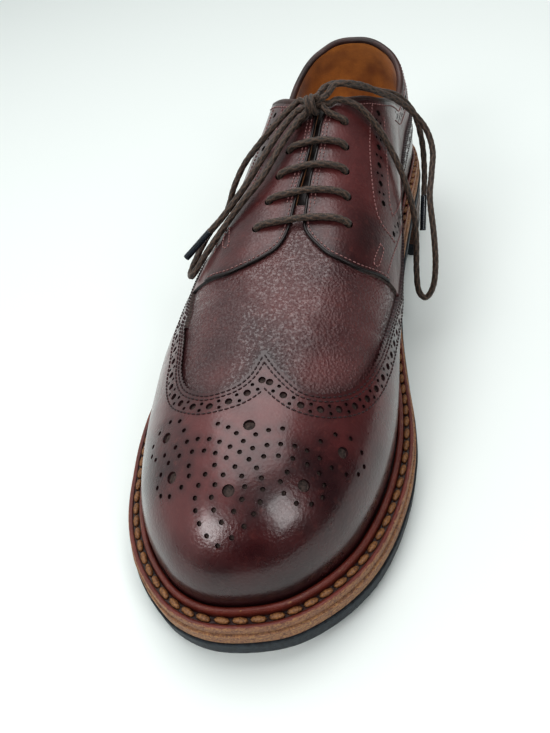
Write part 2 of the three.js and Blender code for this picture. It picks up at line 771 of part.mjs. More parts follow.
const knotBody = new THREE.SphereGeometry(1, 14, 9);
knotBody.scale(...knotRadii);
knotBody.translate(...knotCentre);
const topPair = barPoints(eyelets[0]);
const knot = toSolid(knotBody)
  .add(toSolid(cordGeometry([topPair[0], topPair[2], [knotCentre[0] + 1, knotCentre[1], knotCentre[2] - 1]], 4)))
  .add(toSolid(cordGeometry([topPair[6], topPair[5], [knotCentre[0] - 1, knotCentre[1], knotCentre[2] - 1]], 4)));

// Aglet in line with the last stretch of a lace end
function aglet(points) {
  const end = new THREE.Vector3(...points[points.length - 1]);
  const curve = new THREE.CatmullRomCurve3(points.map((p) => new THREE.Vector3(...p)));
  const direction = curve.getTangent(1).normalize();
  const geometry = new THREE.CylinderGeometry(agletDiameter / 2, agletDiameter / 2, agletLength, 8);
  geometry.applyQuaternion(new THREE.Quaternion().setFromUnitVectors(new THREE.Vector3(0, 1, 0), direction));
  const centre = end.addScaledVector(direction, agletLength / 2 + clearance);
  geometry.translate(centre.x, centre.y, centre.z);
  return toSolid(geometry);
}

// Meshes with their materials
const leather = { color: 0x4a1f27, roughness: 0.32, metalness: 0 };
const laceCord = { color: 0x3b3029, roughness: 0.8, metalness: 0 };
const agletPlastic = { color: 0x1c2026, roughness: 0.3, metalness: 0 };

const group = new THREE.Group();
function addPiece(name, solid, look) {
  const mesh = solid.getMesh();
  const geometry = new THREE.BufferGeometry();
  geometry.setAttribute('position', new THREE.BufferAttribute(new Float32Array(mesh.vertProperties), 3));
  geometry.setIndex(new THREE.BufferAttribute(new Uint32Array(mesh.triVerts), 1));
  geometry.computeVertexNormals();
  const piece = new THREE.Mesh(geometry, new THREE.MeshStandardMaterial(look));
  piece.name = name;
  group.add(piece);
}

addPiece('outsole', outsole, { color: 0x30363d, roughness: 0.7, metalness: 0 });
addPiece('midsole', midsole, { color: 0x9c7a5e, roughness: 0.8, metalness: 0 });
addPiece('welt', welt, { color: 0x7a3b30, roughness: 0.55, metalness: 0 });
addPiece('heel_lifts', heelLifts, { color: 0x6b4a36, roughness: 0.7, metalness: 0 });
addPiece('heel_top_piece', heelTopPiece, { color: 0x2b3036, roughness: 0.75, metalness: 0 });
addPiece('insole', insole, { color: 0x9a6231, roughness: 0.8, metalness: 0 });
addPiece('upper', upper, leather);
addPiece('tongue', tongue, { color: 0x35161d, roughness: 0.5, metalness: 0 });
laceBars.forEach((bar, index) => addPiece(`lace_bar_${index + 1}`, bar, laceCord));
addPiece('lace_knot', knot, laceCord);
addPiece('lace_loop_lateral', toSolid(cordGeometry(loopLateralPoints, 26)), laceCord);
addPiece('lace_loop_medial', toSolid(cordGeometry(loopMedialPoints, 38)), laceCord);
addPiece('lace_end_lateral', toSolid(cordGeometry(endLateralPoints, 10)), laceCord);
addPiece('lace_end_medial', toSolid(cordGeometry(endMedialPoints, 15)), laceCord);
addPiece('aglet_lateral', aglet(endLateralPoints), agletPlastic);
addPiece('aglet_medial', aglet(endMedialPoints), agletPlastic);

export default group;
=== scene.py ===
# Wingtip derby shoe, right foot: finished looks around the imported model.
# Shapes are worked out in millimetres and put into the meshes in metres, +Z up, toe towards -Y.

import math
import random

import bmesh
import bpy
import numpy as np
from mathutils import Matrix, Vector
from mathutils.bvhtree import BVHTree
from mathutils.kdtree import KDTree


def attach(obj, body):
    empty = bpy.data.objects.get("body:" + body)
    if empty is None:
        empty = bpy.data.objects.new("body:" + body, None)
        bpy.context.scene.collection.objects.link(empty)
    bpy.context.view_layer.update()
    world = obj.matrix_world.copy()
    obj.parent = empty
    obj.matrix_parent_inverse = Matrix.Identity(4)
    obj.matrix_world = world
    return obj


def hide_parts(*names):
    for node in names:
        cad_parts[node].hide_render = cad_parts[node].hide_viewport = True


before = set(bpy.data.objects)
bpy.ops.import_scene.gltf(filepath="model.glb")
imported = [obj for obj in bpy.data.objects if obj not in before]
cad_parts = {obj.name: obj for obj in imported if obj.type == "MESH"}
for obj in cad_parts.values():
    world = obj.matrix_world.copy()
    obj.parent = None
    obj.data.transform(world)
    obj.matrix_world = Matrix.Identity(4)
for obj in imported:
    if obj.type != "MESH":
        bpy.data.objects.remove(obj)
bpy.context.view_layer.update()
mm = 0.001

# The last
lastSizes = {
    "length": 292.0, "ballWidth": 97.5, "instepHeight": 80.0, "collarHeight": 57.0,
    "heelSetback": 31.0, "flatReach": 0.6, "counterSwell": 3.0, "counterFront": 0.2,
    "heelFan": 0.116, "toeFan": 0.829, "ballBack": 0.63, "ballFront": 0.733, "seatFront": 0.178,
    "heelBreast": 0.229, "heelFanSteps": 26, "sectionSteps": 150, "toeFanSteps": 36, "rows": 84,
}
soleSizes = {
    "heelHeight": 22.0, "topPiece": 7.0, "toeSpring": 7.2, "outsole": 7.4, "midsole": 5.2,
    "welt": 4.2, "marginToe": 8.6, "marginHeel": 5.4, "ribHeight": 2.6, "ribWidth": 2.8,
    "lipWidth": 1.9, "weltInset": 5.0, "midsoleStep": 0.7, "outsoleStep": 1.3,
    "insole": 4.6, "clearance": 0.3,
}
upperSizes = {
    "wall": 2.2, "layer": 1.2, "lining": 1.05, "eyelet": 4.0, "tongue": 2.4,
    "toothPitch": 2.1, "toothDepth": 0.55,
    "largeHole": 2.7, "smallHole": 1.35, "rosetteHole": 4.2, "rosetteDot": 1.7, "holeDepth": 1.0,
}

halfBall = lastSizes["ballWidth"] / 2
soleStack = soleSizes["outsole"] + soleSizes["midsole"] + soleSizes["welt"]
toeEnd = 1 + (soleSizes["marginToe"] + soleSizes["outsoleStep"]) / lastSizes["length"]


def stationY(along):
    return lastSizes["heelSetback"] - along * lastSizes["length"]


def alongOf(y):
    return (lastSizes["heelSetback"] - y) / lastSizes["length"]


# Feather line seen from below: share along, share across half the ball
featherLine = [
    (0.000, 0.000), (0.003, 0.185), (0.017, 0.369), (0.041, 0.523), (0.092, 0.636), (0.161, 0.656),
    (0.264, 0.636), (0.384, 0.615), (0.486, 0.656), (0.589, 0.763), (0.664, 0.857), (0.733, 0.909),
    (0.801, 0.898), (0.856, 0.841), (0.908, 0.734), (0.952, 0.554), (0.983, 0.328), (1.000, -0.072),
    (0.990, -0.318), (0.966, -0.512), (0.932, -0.692), (0.890, -0.838), (0.836, -0.958),
    (0.767, -1.058), (0.699, -1.098), (0.630, -1.071), (0.538, -0.964), (0.435, -0.821),
    (0.315, -0.718), (0.195, -0.667), (0.092, -0.636), (0.041, -0.513), (0.017, -0.359),
    (0.003, -0.185),
]

# Sections: along, spine, ridge height, squareness, medial swell, lateral swell, flat under the lace
lastSections = [
    (0.000, 0.000, 1.019, 3.00, 0.041, 0.041, 0), (0.050, 0.008, 1.019, 3.00, -0.016, -0.024, 0),
    (0.116, 0.021, 1.019, 3.00, -0.072, -0.072, 0), (0.212, 0.066, 0.986, 2.70, -0.008, -0.046, 0),
    (0.298, 0.104, 0.954, 2.30, 0.086, 0.018, 0.010), (0.384, 0.124, 0.938, 2.00, 0.176, 0.078, 0.040),
    (0.486, 0.110, 0.928, 1.84, 0.208, 0.092, 0.076), (0.572, 0.092, 0.869, 1.85, 0.175, 0.084, 0.099),
    (0.658, 0.051, 0.738, 1.95, 0.107, 0.052, 0.045), (0.743, 0.000, 0.619, 2.10, 0.063, 0.004, 0),
    (0.812, -0.051, 0.556, 2.20, 0.047, -0.010, 0), (0.870, -0.076, 0.523, 2.29, 0.035, -0.010, 0),
    (0.932, -0.080, 0.482, 2.37, 0.027, -0.004, 0), (1.000, -0.082, 0.411, 2.45, 0.021, 0.004, 0),
]

# Edge of the wing cap over the toes
wingFront = [
    (0.650, -0.815), (0.676, -0.790), (0.724, -0.708), (0.753, -0.665), (0.779, -0.587),
    (0.795, -0.496), (0.805, -0.355), (0.803, -0.246), (0.794, -0.131), (0.778, -0.047),
    (0.755, 0.002), (0.744, 0.025), (0.755, 0.094), (0.770, 0.189), (0.785, 0.330),
    (0.785, 0.451), (0.775, 0.570), (0.756, 0.679), (0.724, 0.761), (0.685, 0.810), (0.650, 0.835),
]
wingLateral = [
    (0.682, 0.746), (0.647, 0.754), (0.589, 0.728), (0.521, 0.653), (0.435, 0.539),
    (0.332, 0.429), (0.212, 0.375), (0.092, 0.412), (-0.062, 0.430),
]
wingMedial = [
    (0.682, 0.602), (0.616, 0.587), (0.531, 0.531), (0.435, 0.452), (0.332, 0.385),
    (0.212, 0.366), (0.092, 0.412), (-0.062, 0.430),
]
facingLateral = [
    (0.570, -1.500), (0.599, -0.985), (0.614, -0.683), (0.621, -0.491), (0.616, -0.338),
    (0.602, -0.176), (0.584, -0.058), (0.560, -0.008), (0.522, 0.010),
]
facingMedial = [
    (0.522, 0.114), (0.558, 0.134), (0.583, 0.272), (0.594, 0.403), (0.592, 0.591),
    (0.567, 0.794), (0.534, 1.026), (0.500, 1.500),
]
# Slit between the facings: along, left edge, right edge
throatSlit = [
    (0.522, 0.010, 0.114), (0.498, 0.020, 0.110), (0.478, 0.034, 0.112),
    (0.441, 0.052, 0.122), (0.399, 0.052, 0.112), (0.325, 0.058, 0.132),
]
topline = [
    (0.390, 1.465), (0.373, 1.364), (0.349, 1.273), (0.315, 1.164), (0.288, 1.054),
    (0.260, 0.960), (0.229, 0.847), (0.192, 0.720), (0.154, 0.663), (0.113, 0.672),
    (0.068, 0.751), (0.031, 0.868), (0.000, 0.965), (-0.062, 1.040),
]
# Eyelets from the top pair down: medial along, across, lateral along, across
eyelets = [
    (0.382, 0.300, 0.391, -0.104), (0.422, 0.340, 0.434, -0.125), (0.461, 0.374, 0.476, -0.168),
    (0.499, 0.420, 0.515, -0.219), (0.539, 0.462, 0.556, -0.280),
]
tonguePlan = [
    (0.610, -0.28, 0.40), (0.540, -0.36, 0.52), (0.440, -0.40, 0.62),
    (0.375, -0.38, 0.60), (0.352, -0.28, 0.50),
]


def tableCurve(rows, column=1):
    xs = np.array([row[0] for row in rows], float)
    ys = np.array([row[column] for row in rows], float)
    order = np.argsort(xs)
    xs, ys = xs[order], ys[order]
    gaps = np.diff(xs)
    rates = np.diff(ys) / gaps
    slopes = np.empty_like(ys)
    slopes[0], slopes[-1] = rates[0], rates[-1]
    slopes[1:-1] = (rates[:-1] * gaps[1:] + rates[1:] * gaps[:-1]) / (gaps[:-1] + gaps[1:])

    def at(x):
        x = np.asarray(x, float)
        i = np.clip(np.searchsorted(xs, x, side="right") - 1, 0, len(xs) - 2)
        h = xs[i + 1] - xs[i]
        t = (x - xs[i]) / h
        inside = ((2 * t**3 - 3 * t**2 + 1) * ys[i] + (t**3 - 2 * t**2 + t) * h * slopes[i]
                  + (3 * t**2 - 2 * t**3) * ys[i + 1] + (t**3 - t**2) * h * slopes[i + 1])
        below = ys[0] + slopes[0] * (x - xs[0])
        above = ys[-1] + slopes[-1] * (x - xs[-1])
        return np.where(x <= xs[0], below, np.where(x >= xs[-1], above, inside))
    return at


spineShare, ridgeShare, powerAt, swellMedial, swellLateral, laceFlat = [
    tableCurve(lastSections, column) for column in range(1, 7)]
marginShare = tableCurve([(0, 0), (0.2, 0.03), (0.4, 0.35), (0.58, 0.8), (0.72, 1), (1, 1)])


def groundAt(along):  # toe spring, flat ball, arch and raised heel seat
    along = np.asarray(along, float)
    front = np.maximum(along - lastSizes["ballFront"], 0) / (toeEnd - lastSizes["ballFront"])
    back = (lastSizes["ballBack"] - along) / (lastSizes["ballBack"] - lastSizes["seatFront"])
    t = np.clip(back, 0, 1)
    return soleSizes["toeSpring"] * front**2 + soleSizes["heelHeight"] * t * t * (3 - 2 * t)


def featherHeight(along):
    return groundAt(along) + soleStack


def closedSpline(points, count):  # centripetal curve through the points, back to its start
    points = np.array(points, float)
    n = len(points)
    out = []
    for k in range(count):
        t = n * k / count
        i = int(t)
        w = t - i
        p = [points[(i + j) % n] for j in (-1, 0, 1, 2)]
        d = [max(np.sum((p[j + 1] - p[j]) ** 2) ** 0.25, 1e-6) for j in range(3)]
        t1 = ((p[1] - p[0]) / d[0] - (p[2] - p[0]) / (d[0] + d[1]) + (p[2] - p[1]) / d[1]) * d[1]
        t2 = ((p[2] - p[1]) / d[1] - (p[3] - p[1]) / (d[1] + d[2]) + (p[3] - p[2]) / d[2]) * d[1]
        c2 = -3 * p[1] + 3 * p[2] - 2 * t1 - t2
        c3 = 2 * p[1] - 2 * p[2] + t1 + t2
        out.append(p[1] + t1 * w + c2 * w * w + c3 * w**3)
    return np.array(out)


featherPoints = closedSpline([(across * halfBall, stationY(along)) for along, across in featherLine], 700)


class Columns:  # rays from the middle of the last out to the feather line
    def __init__(self, base, direction):
        self.base, self.direction = base, direction
        p = featherPoints
        e = np.roll(p, -1, axis=0) - p
        det = direction[:, None, 1] * e[None, :, 0] - direction[:, None, 0] * e[None, :, 1]
        det = np.where(np.abs(det) < 1e-12, np.nan, det)
        w = p[None] - base[:, None]
        t = (w[..., 1] * e[None, :, 0] - w[..., 0] * e[None, :, 1]) / det
        s = (direction[:, None, 0] * w[..., 1] - direction[:, None, 1] * w[..., 0]) / det
        t = np.where((s >= -1e-9) & (s <= 1 + 1e-9) & (t > 1), t, np.inf)
        self.reach = np.nanmin(np.where(np.isnan(t), np.inf, t), axis=1)
        self.along = alongOf(base[:, 1] + direction[:, 1] * self.reach)
        turn = (1 + direction[:, 0]) / 2
        swell = swellMedial(self.along) * turn + swellLateral(self.along) * (1 - turn)
        self.swell = swell * halfBall
        back = np.clip(1 - self.along / lastSizes["counterFront"], 0, 1)
        self.counter = lastSizes["counterSwell"] * back * back * (3 - 2 * back)
        self.count = len(base)

    def point(self, rise, grow):  # rise 0 is the feather line, rise 1 the ridge
        angle = rise * math.pi / 2
        cos, sin = np.maximum(np.cos(angle), 0), np.sin(angle)
        power = powerAt(self.along * (1 - rise) + alongOf(self.base[:, 1]) * rise)
        height = sin ** (2 / power)
        swell = (self.swell * np.sin(2 * angle) * cos * cos * 1.6
                 + self.counter * np.sin(math.pi * np.minimum(height / 0.62, 1)))
        across = cos ** (2 / power)
        radius = (self.reach + grow) * across + swell
        radius = np.where(np.asarray(rise) >= 1, 0, radius)
        xy = self.base + self.direction * radius[:, None]
        foot = featherHeight(self.along)
        along = alongOf(xy[:, 1])
        ridge = featherHeight(along) + ridgeShare(along) * lastSizes["instepHeight"] + grow
        flat = np.clip(1 - (across / lastSizes["flatReach"]) ** 2, 0, 1) ** 2
        dip = laceFlat(along) * lastSizes["instepHeight"] * flat
        return np.column_stack([xy, foot + (ridge - foot) * height - dip])

    def flat(self, radius, level):  # a point of the sole, its height following the ground line
        xy = self.base + self.direction * np.broadcast_to(radius, (self.count,))[:, None]
        return np.column_stack([xy, groundAt(alongOf(xy[:, 1])) + level])


def makeColumns(heelSteps, sectionSteps, toeSteps):
    sideBase, sideTurn = [], []
    heelFan, toeFan = lastSizes["heelFan"], lastSizes["toeFan"]
    for step in range(heelSteps):
        angle = math.pi / 2 * step / heelSteps
        sideBase.append((float(spineShare(heelFan)) * halfBall, stationY(heelFan)))
        sideTurn.append((math.sin(angle), math.cos(angle)))
    for step in range(sectionSteps):
        along = heelFan + (toeFan - heelFan) * step / sectionSteps
        sideBase.append((float(spineShare(along)) * halfBall, stationY(along)))
        sideTurn.append((1.0, 0.0))
    for step in range(toeSteps + 1):
        angle = math.pi / 2 * (1 - step / toeSteps)
        sideBase.append((float(spineShare(toeFan)) * halfBall, stationY(toeFan)))
        sideTurn.append((math.sin(angle), -math.cos(angle)))
    base = np.array(sideBase + sideBase[-2:0:-1])
    turn = np.array(sideTurn + [(-x, y) for x, y in sideTurn[-2:0:-1]])
    return Columns(base, turn)


columns = makeColumns(lastSizes["heelFanSteps"], lastSizes["sectionSteps"], lastSizes["toeFanSteps"])
coarseColumns = makeColumns(10, 60, 14)


def wingGrow(cols):  # the wing lies on the vamp in front and on the quarters behind
    t = np.clip((0.62 - alongOf(cols.base[:, 1])) / 0.1, 0, 1)
    return upperSizes["layer"] * (1 + 0.75 * t * t * (3 - 2 * t))


def soleRadius(cols, step):
    share = np.clip(marginShare(cols.along), 0, 1)
    margin = soleSizes["marginHeel"] + (soleSizes["marginToe"] - soleSizes["marginHeel"]) * share
    return cols.reach + margin + step


# Mesh helpers
def linkPiece(name, data):
    piece = bpy.data.objects.new(name, data)
    bpy.context.collection.objects.link(piece)
    return piece


def newPiece(name, verts, faces):
    mesh = bpy.data.meshes.new(name)
    mesh.from_pydata([tuple(v) for v in verts], [], [tuple(int(i) for i in f) for f in faces])
    mesh.update()
    return linkPiece(name, mesh)


def meshPiece(name, build):
    mesh = bpy.data.meshes.new(name)
    build.to_mesh(mesh)
    build.free()
    return linkPiece(name, mesh)


def markPoints(piece, label, values):  # one value on each point, for the finishes to read
    attribute = piece.data.attributes.new(label, "FLOAT", "POINT")
    attribute.data.foreach_set("value", np.array(values, np.float32))


def loftPiece(name, rows, endless=False):  # rings of points in mm, each over all the columns
    rows = np.array(rows)
    stacks, around = rows.shape[:2]
    points = rows.reshape(-1, 3)
    keys = np.round(points / 1e-3).astype(np.int64)
    _, first, back = np.unique(keys, axis=0, return_index=True, return_inverse=True)
    back = back.reshape(-1)
    i = np.arange(stacks if endless else stacks - 1)[:, None]
    j = np.arange(around)[None, :]
    k, l = (i + 1) % stacks, (j + 1) % around
    quads = [back[(p * around + q).ravel()] for p, q in ((i, j), (i, l), (k, l), (k, j))]
    tris = np.concatenate([np.column_stack([quads[0], quads[1], quads[2]]),
                           np.column_stack([quads[0], quads[2], quads[3]])])
    good = (tris[:, 0] != tris[:, 1]) & (tris[:, 1] != tris[:, 2]) & (tris[:, 0] != tris[:, 2])
    tris, verts = tris[good], points[first]
    a, b, c = verts[tris[:, 0]], verts[tris[:, 1]], verts[tris[:, 2]]
    if np.sum(a * np.cross(b, c)) < 0:
        tris = tris[:, ::-1]
    return newPiece(name, verts * mm, tris)


def prismPiece(name, outline, low, high, sideways=False):
    # outline in mm; upright over a plan, or sideways across the shoe over a side view
    build = bmesh.new()
    place = (lambda p, d: (d, p[0], p[1])) if sideways else (lambda p, d: (p[0], p[1], d))
    bottom = [build.verts.new(Vector(place(p, low)) * mm) for p in outline]
    face = build.faces.new(bottom)
    made = bmesh.ops.extrude_face_region(build, geom=[face])
    lift = Vector(place((0, 0), high - low)) * mm
    bmesh.ops.translate(build, verts=[v for v in made["geom"] if isinstance(v, bmesh.types.BMVert)],
                        vec=lift)
    bmesh.ops.recalc_face_normals(build, faces=build.faces)
    bmesh.ops.triangulate(build, faces=build.faces)
    return meshPiece(name, build)


def bake(piece):  # modifiers become a plain mesh
    graph = bpy.context.evaluated_depsgraph_get()
    mesh = bpy.data.meshes.new_from_object(piece.evaluated_get(graph))
    piece.modifiers.clear()
    piece.data = mesh
    return piece


def combine(piece, tool, how):
    cut = piece.modifiers.new("cut", "BOOLEAN")
    cut.solver = "MANIFOLD"
    cut.operation = how
    cut.object = tool
    return bake(piece)


def copyOf(piece, name):
    return linkPiece(name, piece.data.copy())


def discard(*things):
    for thing in things:
        bpy.data.objects.remove(thing, do_unlink=True)


def smoothShade(piece, angle=38):
    piece.data.polygons.foreach_set("use_smooth", [True] * len(piece.data.polygons))
    piece.data.set_sharp_from_angle(angle=math.radians(angle))
    piece.data.update()


def treeOf(piece):
    mesh = piece.data
    return BVHTree.FromPolygons([v.co / mm for v in mesh.vertices],
                                [tuple(p.vertices) for p in mesh.polygons])


riseList = []
for k in range(lastSizes["rows"] + 1):
    share = k / lastSizes["rows"]
    riseList.append(0.62 * share + 0.38 * (0.5 - 0.5 * math.cos(math.pi * share)))
coarseRises = [k / 30 for k in range(31)]


# Soft bends over the ball of the foot: along, across from, across to, depth in mm, half width in mm
flexCreases = [
    (0.640, -0.85, -0.05, 0.45, 4.0), (0.668, -0.20, 0.55, 0.40, 3.4), (0.690, 0.25, 0.86, 0.50, 3.6),
    (0.655, 0.45, 0.90, 0.42, 3.2), (0.700, -0.95, -0.55, 0.40, 3.4),
]
# how a bend bows, and the banks that stand up on both of its sides, as shares of its width and depth
creaseShape = {"bow": 0.018, "medialBow": -0.6, "bankAt": 1.7, "rearBank": 0.45, "frontBank": 0.35}


def creaseDepth(points):
    along, across = alongOf(points[:, 1]), points[:, 0] / halfBall
    depth = np.zeros(len(points))
    for place, start, end, deep, width in flexCreases:
        middle, half = (start + end) / 2, (end - start) / 2
        side = 1 if middle < 0 else creaseShape["medialBow"]
        bow = place + creaseShape["bow"] * ((across - middle) / half) ** 2 * side
        away = (along - bow) * lastSizes["length"] / width
        fade = np.clip(1.2 - np.abs((across - middle) / half), 0, 1)
        rear = creaseShape["rearBank"] * np.exp(-(away - creaseShape["bankAt"])**2)
        front = creaseShape["frontBank"] * np.exp(-(away + creaseShape["bankAt"])**2)
        depth += deep * fade * (np.exp(-away**2) - rear - front)
    high = np.clip((points[:, 2] - featherHeight(along)) / 12, 0, 1)
    return depth * high


def lastBody(name, grow, drop, cols=columns, rises=riseList, creased=True):
    size = grow(cols) if callable(grow) else grow
    rows = [cols.flat(0, soleStack - drop), cols.flat((cols.reach + size) * 0.5, soleStack - drop)]
    if drop > 0:
        foot = cols.flat(cols.reach + size, 0)
        foot[:, 2] = featherHeight(cols.along) - drop
        rows.append(foot)
    body = [cols.point(rise, size) for rise in rises]
    if creased:
        for row in body[1:]:
            row[:, 2] -= creaseDepth(row)
    return loftPiece(name, rows + body)


print("stage: last ready")

# Lines on the shoe
far = 2 * lastSizes["length"]


def resample(points, step):
    points = np.array(points, float)
    run = np.concatenate([[0], np.cumsum(np.linalg.norm(np.diff(points, axis=0), axis=1))])
    count = max(int(round(run[-1] / step)), 2)
    marks = np.linspace(0, run[-1], count + 1)
    return np.column_stack([np.interp(marks, run, points[:, k]) for k in range(points.shape[1])])


def splineThrough(points, step):
    p = np.array(points, float)
    p = np.vstack([2 * p[0] - p[1], p, 2 * p[-1] - p[-2]])
    t = np.linspace(0, 1, 20, endpoint=False)[:, None]
    out = []
    for i in range(1, len(p) - 2):
        a, b, c, d = p[i - 1:i + 3]
        out.append(0.5 * (2 * b + (c - a) * t + (2 * a - 5 * b + 4 * c - d) * t**2
                          + (3 * b - a - 3 * c + d) * t**3))
    out.append(p[-2][None])
    return resample(np.vstack(out), step)


def planPoints(rows, column, step):
    return splineThrough([(row[column] * halfBall, stationY(row[0])) for row in rows], step)


def sidePoints(rows, step, first=None, final=None):
    up = tableCurve(rows)
    first = rows[0][0] if first is None else first
    final = rows[-1][0] if final is None else final
    along = np.linspace(first, final, 160)
    line = np.column_stack([stationY(along), featherHeight(along) + up(along) * lastSizes["collarHeight"]])
    return resample(line, step)


def pinked(line, outward):  # gimped edge: every second point stands out by a tooth
    line = resample(line, upperSizes["toothPitch"] / 2)
    turn = np.gradient(line, axis=0)
    turn /= np.linalg.norm(turn, axis=1)[:, None]
    side = np.column_stack([-turn[:, 1], turn[:, 0]]) * outward
    teeth = (np.arange(len(line)) % 2)[:, None]
    return line + side * teeth * upperSizes["toothDepth"]


def topHit(tree, x, y):
    place, normal, _, _ = tree.ray_cast(Vector((x, y, far)), Vector((0, 0, -1)))
    return place, normal


def sideHit(tree, y, z, side):
    place, normal, _, _ = tree.ray_cast(Vector((side * far, y, z)), Vector((-side, 0, 0)))
    return place, normal


def drape(line, tree):  # nearest points of the surface, with their normals
    out, normals = [], []
    for p in line:
        place, normal, _, _ = tree.find_nearest(Vector(p))
        out.append(place)
        normals.append(normal)
    return np.array(out), np.array(normals)


def pointFinder(points):
    finder = KDTree(len(points))
    for i, p in enumerate(points):
        finder.insert(p, i)
    finder.balance()
    return finder


def beside(line, distance, tree):  # the line moved sideways over the surface, in runs
    line = resample(line, 0.6)
    placed, normals = drape(line, tree)
    turn = np.gradient(placed, axis=0)
    turn /= np.linalg.norm(turn, axis=1)[:, None] + 1e-9
    side = np.cross(normals, turn)
    side /= np.linalg.norm(side, axis=1)[:, None] + 1e-9
    moved = placed
    steps = max(int(abs(distance) // 3), 1)
    for _ in range(steps):
        moved, _ = drape(moved + side * (distance / steps), tree)
    near = pointFinder(placed)
    keep = [near.find(p)[2] > abs(distance) * 0.965 for p in moved]  # drops what folds over in a corner
    runs, current = [], []
    for p, ok in zip(moved, keep):
        if ok:
            current.append(p)
        elif current:
            runs.append(current)
            current = []
    runs.append(current)
    return [resample(run, 0.6) for run in runs if len(run) > 6]


def alongLine(line, tree, pitch, start=0.0, lift=0.0):  # places at even steps: point, facing, heading
    line = resample(line, 0.4)
    run = np.concatenate([[0], np.cumsum(np.linalg.norm(np.diff(line, axis=0), axis=1))])
    count = int((run[-1] - start) // pitch) + 1
    marks = start + np.arange(count) * pitch
    spots = np.column_stack([np.interp(marks, run, line[:, k]) for k in range(3)])
    ahead = np.column_stack([np.interp(marks + 0.5, run, line[:, k]) for k in range(3)])
    behind = np.column_stack([np.interp(marks - 0.5, run, line[:, k]) for k in range(3)])
    spots, facing = drape(spots, tree)
    heading = ahead - behind
    heading /= np.linalg.norm(heading, axis=1)[:, None] + 1e-9
    return spots + facing * lift, facing, heading


# Node groups for what repeats
def addNode(tree, kind, settings=None, inputs=None, links=None):
    node = tree.nodes.new(kind)
    for key, value in (settings or {}).items():
        setattr(node, key, value)
    for key, value in (inputs or {}).items():
        node.inputs[key].default_value = value
    for key, source in (links or {}).items():
        tree.links.new(source, node.inputs[key])
    return node


def startGroup(name, sizes):
    group = bpy.data.node_groups.new(name, "GeometryNodeTree")
    group.interface.new_socket("Geometry", in_out="INPUT", socket_type="NodeSocketGeometry")
    for size, value in sizes.items():
        socket = group.interface.new_socket(size, in_out="INPUT", socket_type="NodeSocketFloat")
        socket.default_value = value
    group.interface.new_socket("Finish", in_out="INPUT", socket_type="NodeSocketMaterial")
    group.interface.new_socket("Geometry", in_out="OUTPUT", socket_type="NodeSocketGeometry")
    return group, addNode(group, "NodeGroupInput"), addNode(group, "NodeGroupOutput")


def placeCopies(group, given, end, shape):  # a copy at each point, turned by its two attributes
    facing = addNode(group, "GeometryNodeInputNamedAttribute", {"data_type": "FLOAT_VECTOR"},
                     {"Name": "facing"})
    heading = addNode(group, "GeometryNodeInputNamedAttribute", {"data_type": "FLOAT_VECTOR"},
                      {"Name": "heading"})
    turn = addNode(group, "FunctionNodeAxesToRotation", {"primary_axis": "Z", "secondary_axis": "X"},
                   links={"Primary Axis": facing.outputs["Attribute"],
                          "Secondary Axis": heading.outputs["Attribute"]})
    copies = addNode(group, "GeometryNodeInstanceOnPoints",
                     links={"Points": given.outputs["Geometry"], "Instance": shape,
                            "Rotation": turn.outputs["Rotation"]})
    real = addNode(group, "GeometryNodeRealizeInstances", links={"Geometry": copies.outputs["Instances"]})
    finish = addNode(group, "GeometryNodeSetMaterial",
                     links={"Geometry": real.outputs["Geometry"], "Material": given.outputs["Finish"]})
    group.links.new(finish.outputs["Geometry"], end.inputs["Geometry"])


# Punch: a tapered plug for each hole, wider where it meets the skin
punchGroup, given, end = startGroup("punch holes", {"Radius": 1.0 * mm, "Depth": 2.0 * mm})
mouth = addNode(punchGroup, "ShaderNodeMath", {"operation": "MULTIPLY"}, {1: 1.22},
                {0: given.outputs["Radius"]})
plug = addNode(punchGroup, "GeometryNodeMeshCone", {"fill_type": "TRIANGLE_FAN"}, {"Vertices": 14},
               {"Radius Top": mouth.outputs[0], "Radius Bottom": given.outputs["Radius"],
                "Depth": given.outputs["Depth"]})
placeCopies(punchGroup, given, end, plug.outputs["Mesh"])

# Stitch: a short bead of thread lying along its seam
stitchGroup, given, end = startGroup("lay stitches", {"Length": 1.6 * mm, "Width": 0.5 * mm,
                                                      "Height": 0.35 * mm})
bead = addNode(stitchGroup, "GeometryNodeMeshUVSphere", inputs={"Segments": 7, "Rings": 4, "Radius": 0.5})
upright = addNode(stitchGroup, "ShaderNodeCombineXYZ",
                  links={"X": given.outputs["Height"], "Y": given.outputs["Width"],
                         "Z": given.outputs["Length"]})
sized = addNode(stitchGroup, "GeometryNodeTransform",
                links={"Geometry": bead.outputs["Mesh"], "Scale": upright.outputs["Vector"]})
laid = addNode(stitchGroup, "GeometryNodeTransform", inputs={"Rotation": (0, math.pi / 2, 0)},
               links={"Geometry": sized.outputs["Geometry"]})
smooth = addNode(stitchGroup, "GeometryNodeSetShadeSmooth", links={"Geometry": laid.outputs["Geometry"]})
placeCopies(stitchGroup, given, end, smooth.outputs["Geometry"])


def runGroup(name, group, places, sizes, material=None):
    spots, facing, heading = [np.vstack(list(part)) for part in zip(*places)]
    piece = newPiece(name, spots * mm, [])
    for label, values in (("facing", facing), ("heading", heading)):
        attribute = piece.data.attributes.new(label, "FLOAT_VECTOR", "POINT")
        attribute.data.foreach_set("vector", values.astype(np.float32).ravel())
    nodes = piece.modifiers.new("nodes", "NODES")
    nodes.node_group = group
    for item in group.interface.items_tree:
        if item.in_out == "INPUT" and item.name in sizes:
            nodes[item.identifier] = sizes[item.name]
        if item.in_out == "INPUT" and item.name == "Finish" and material:
            nodes[item.identifier] = material
    return bake(piece)


print("stage: node groups ready")

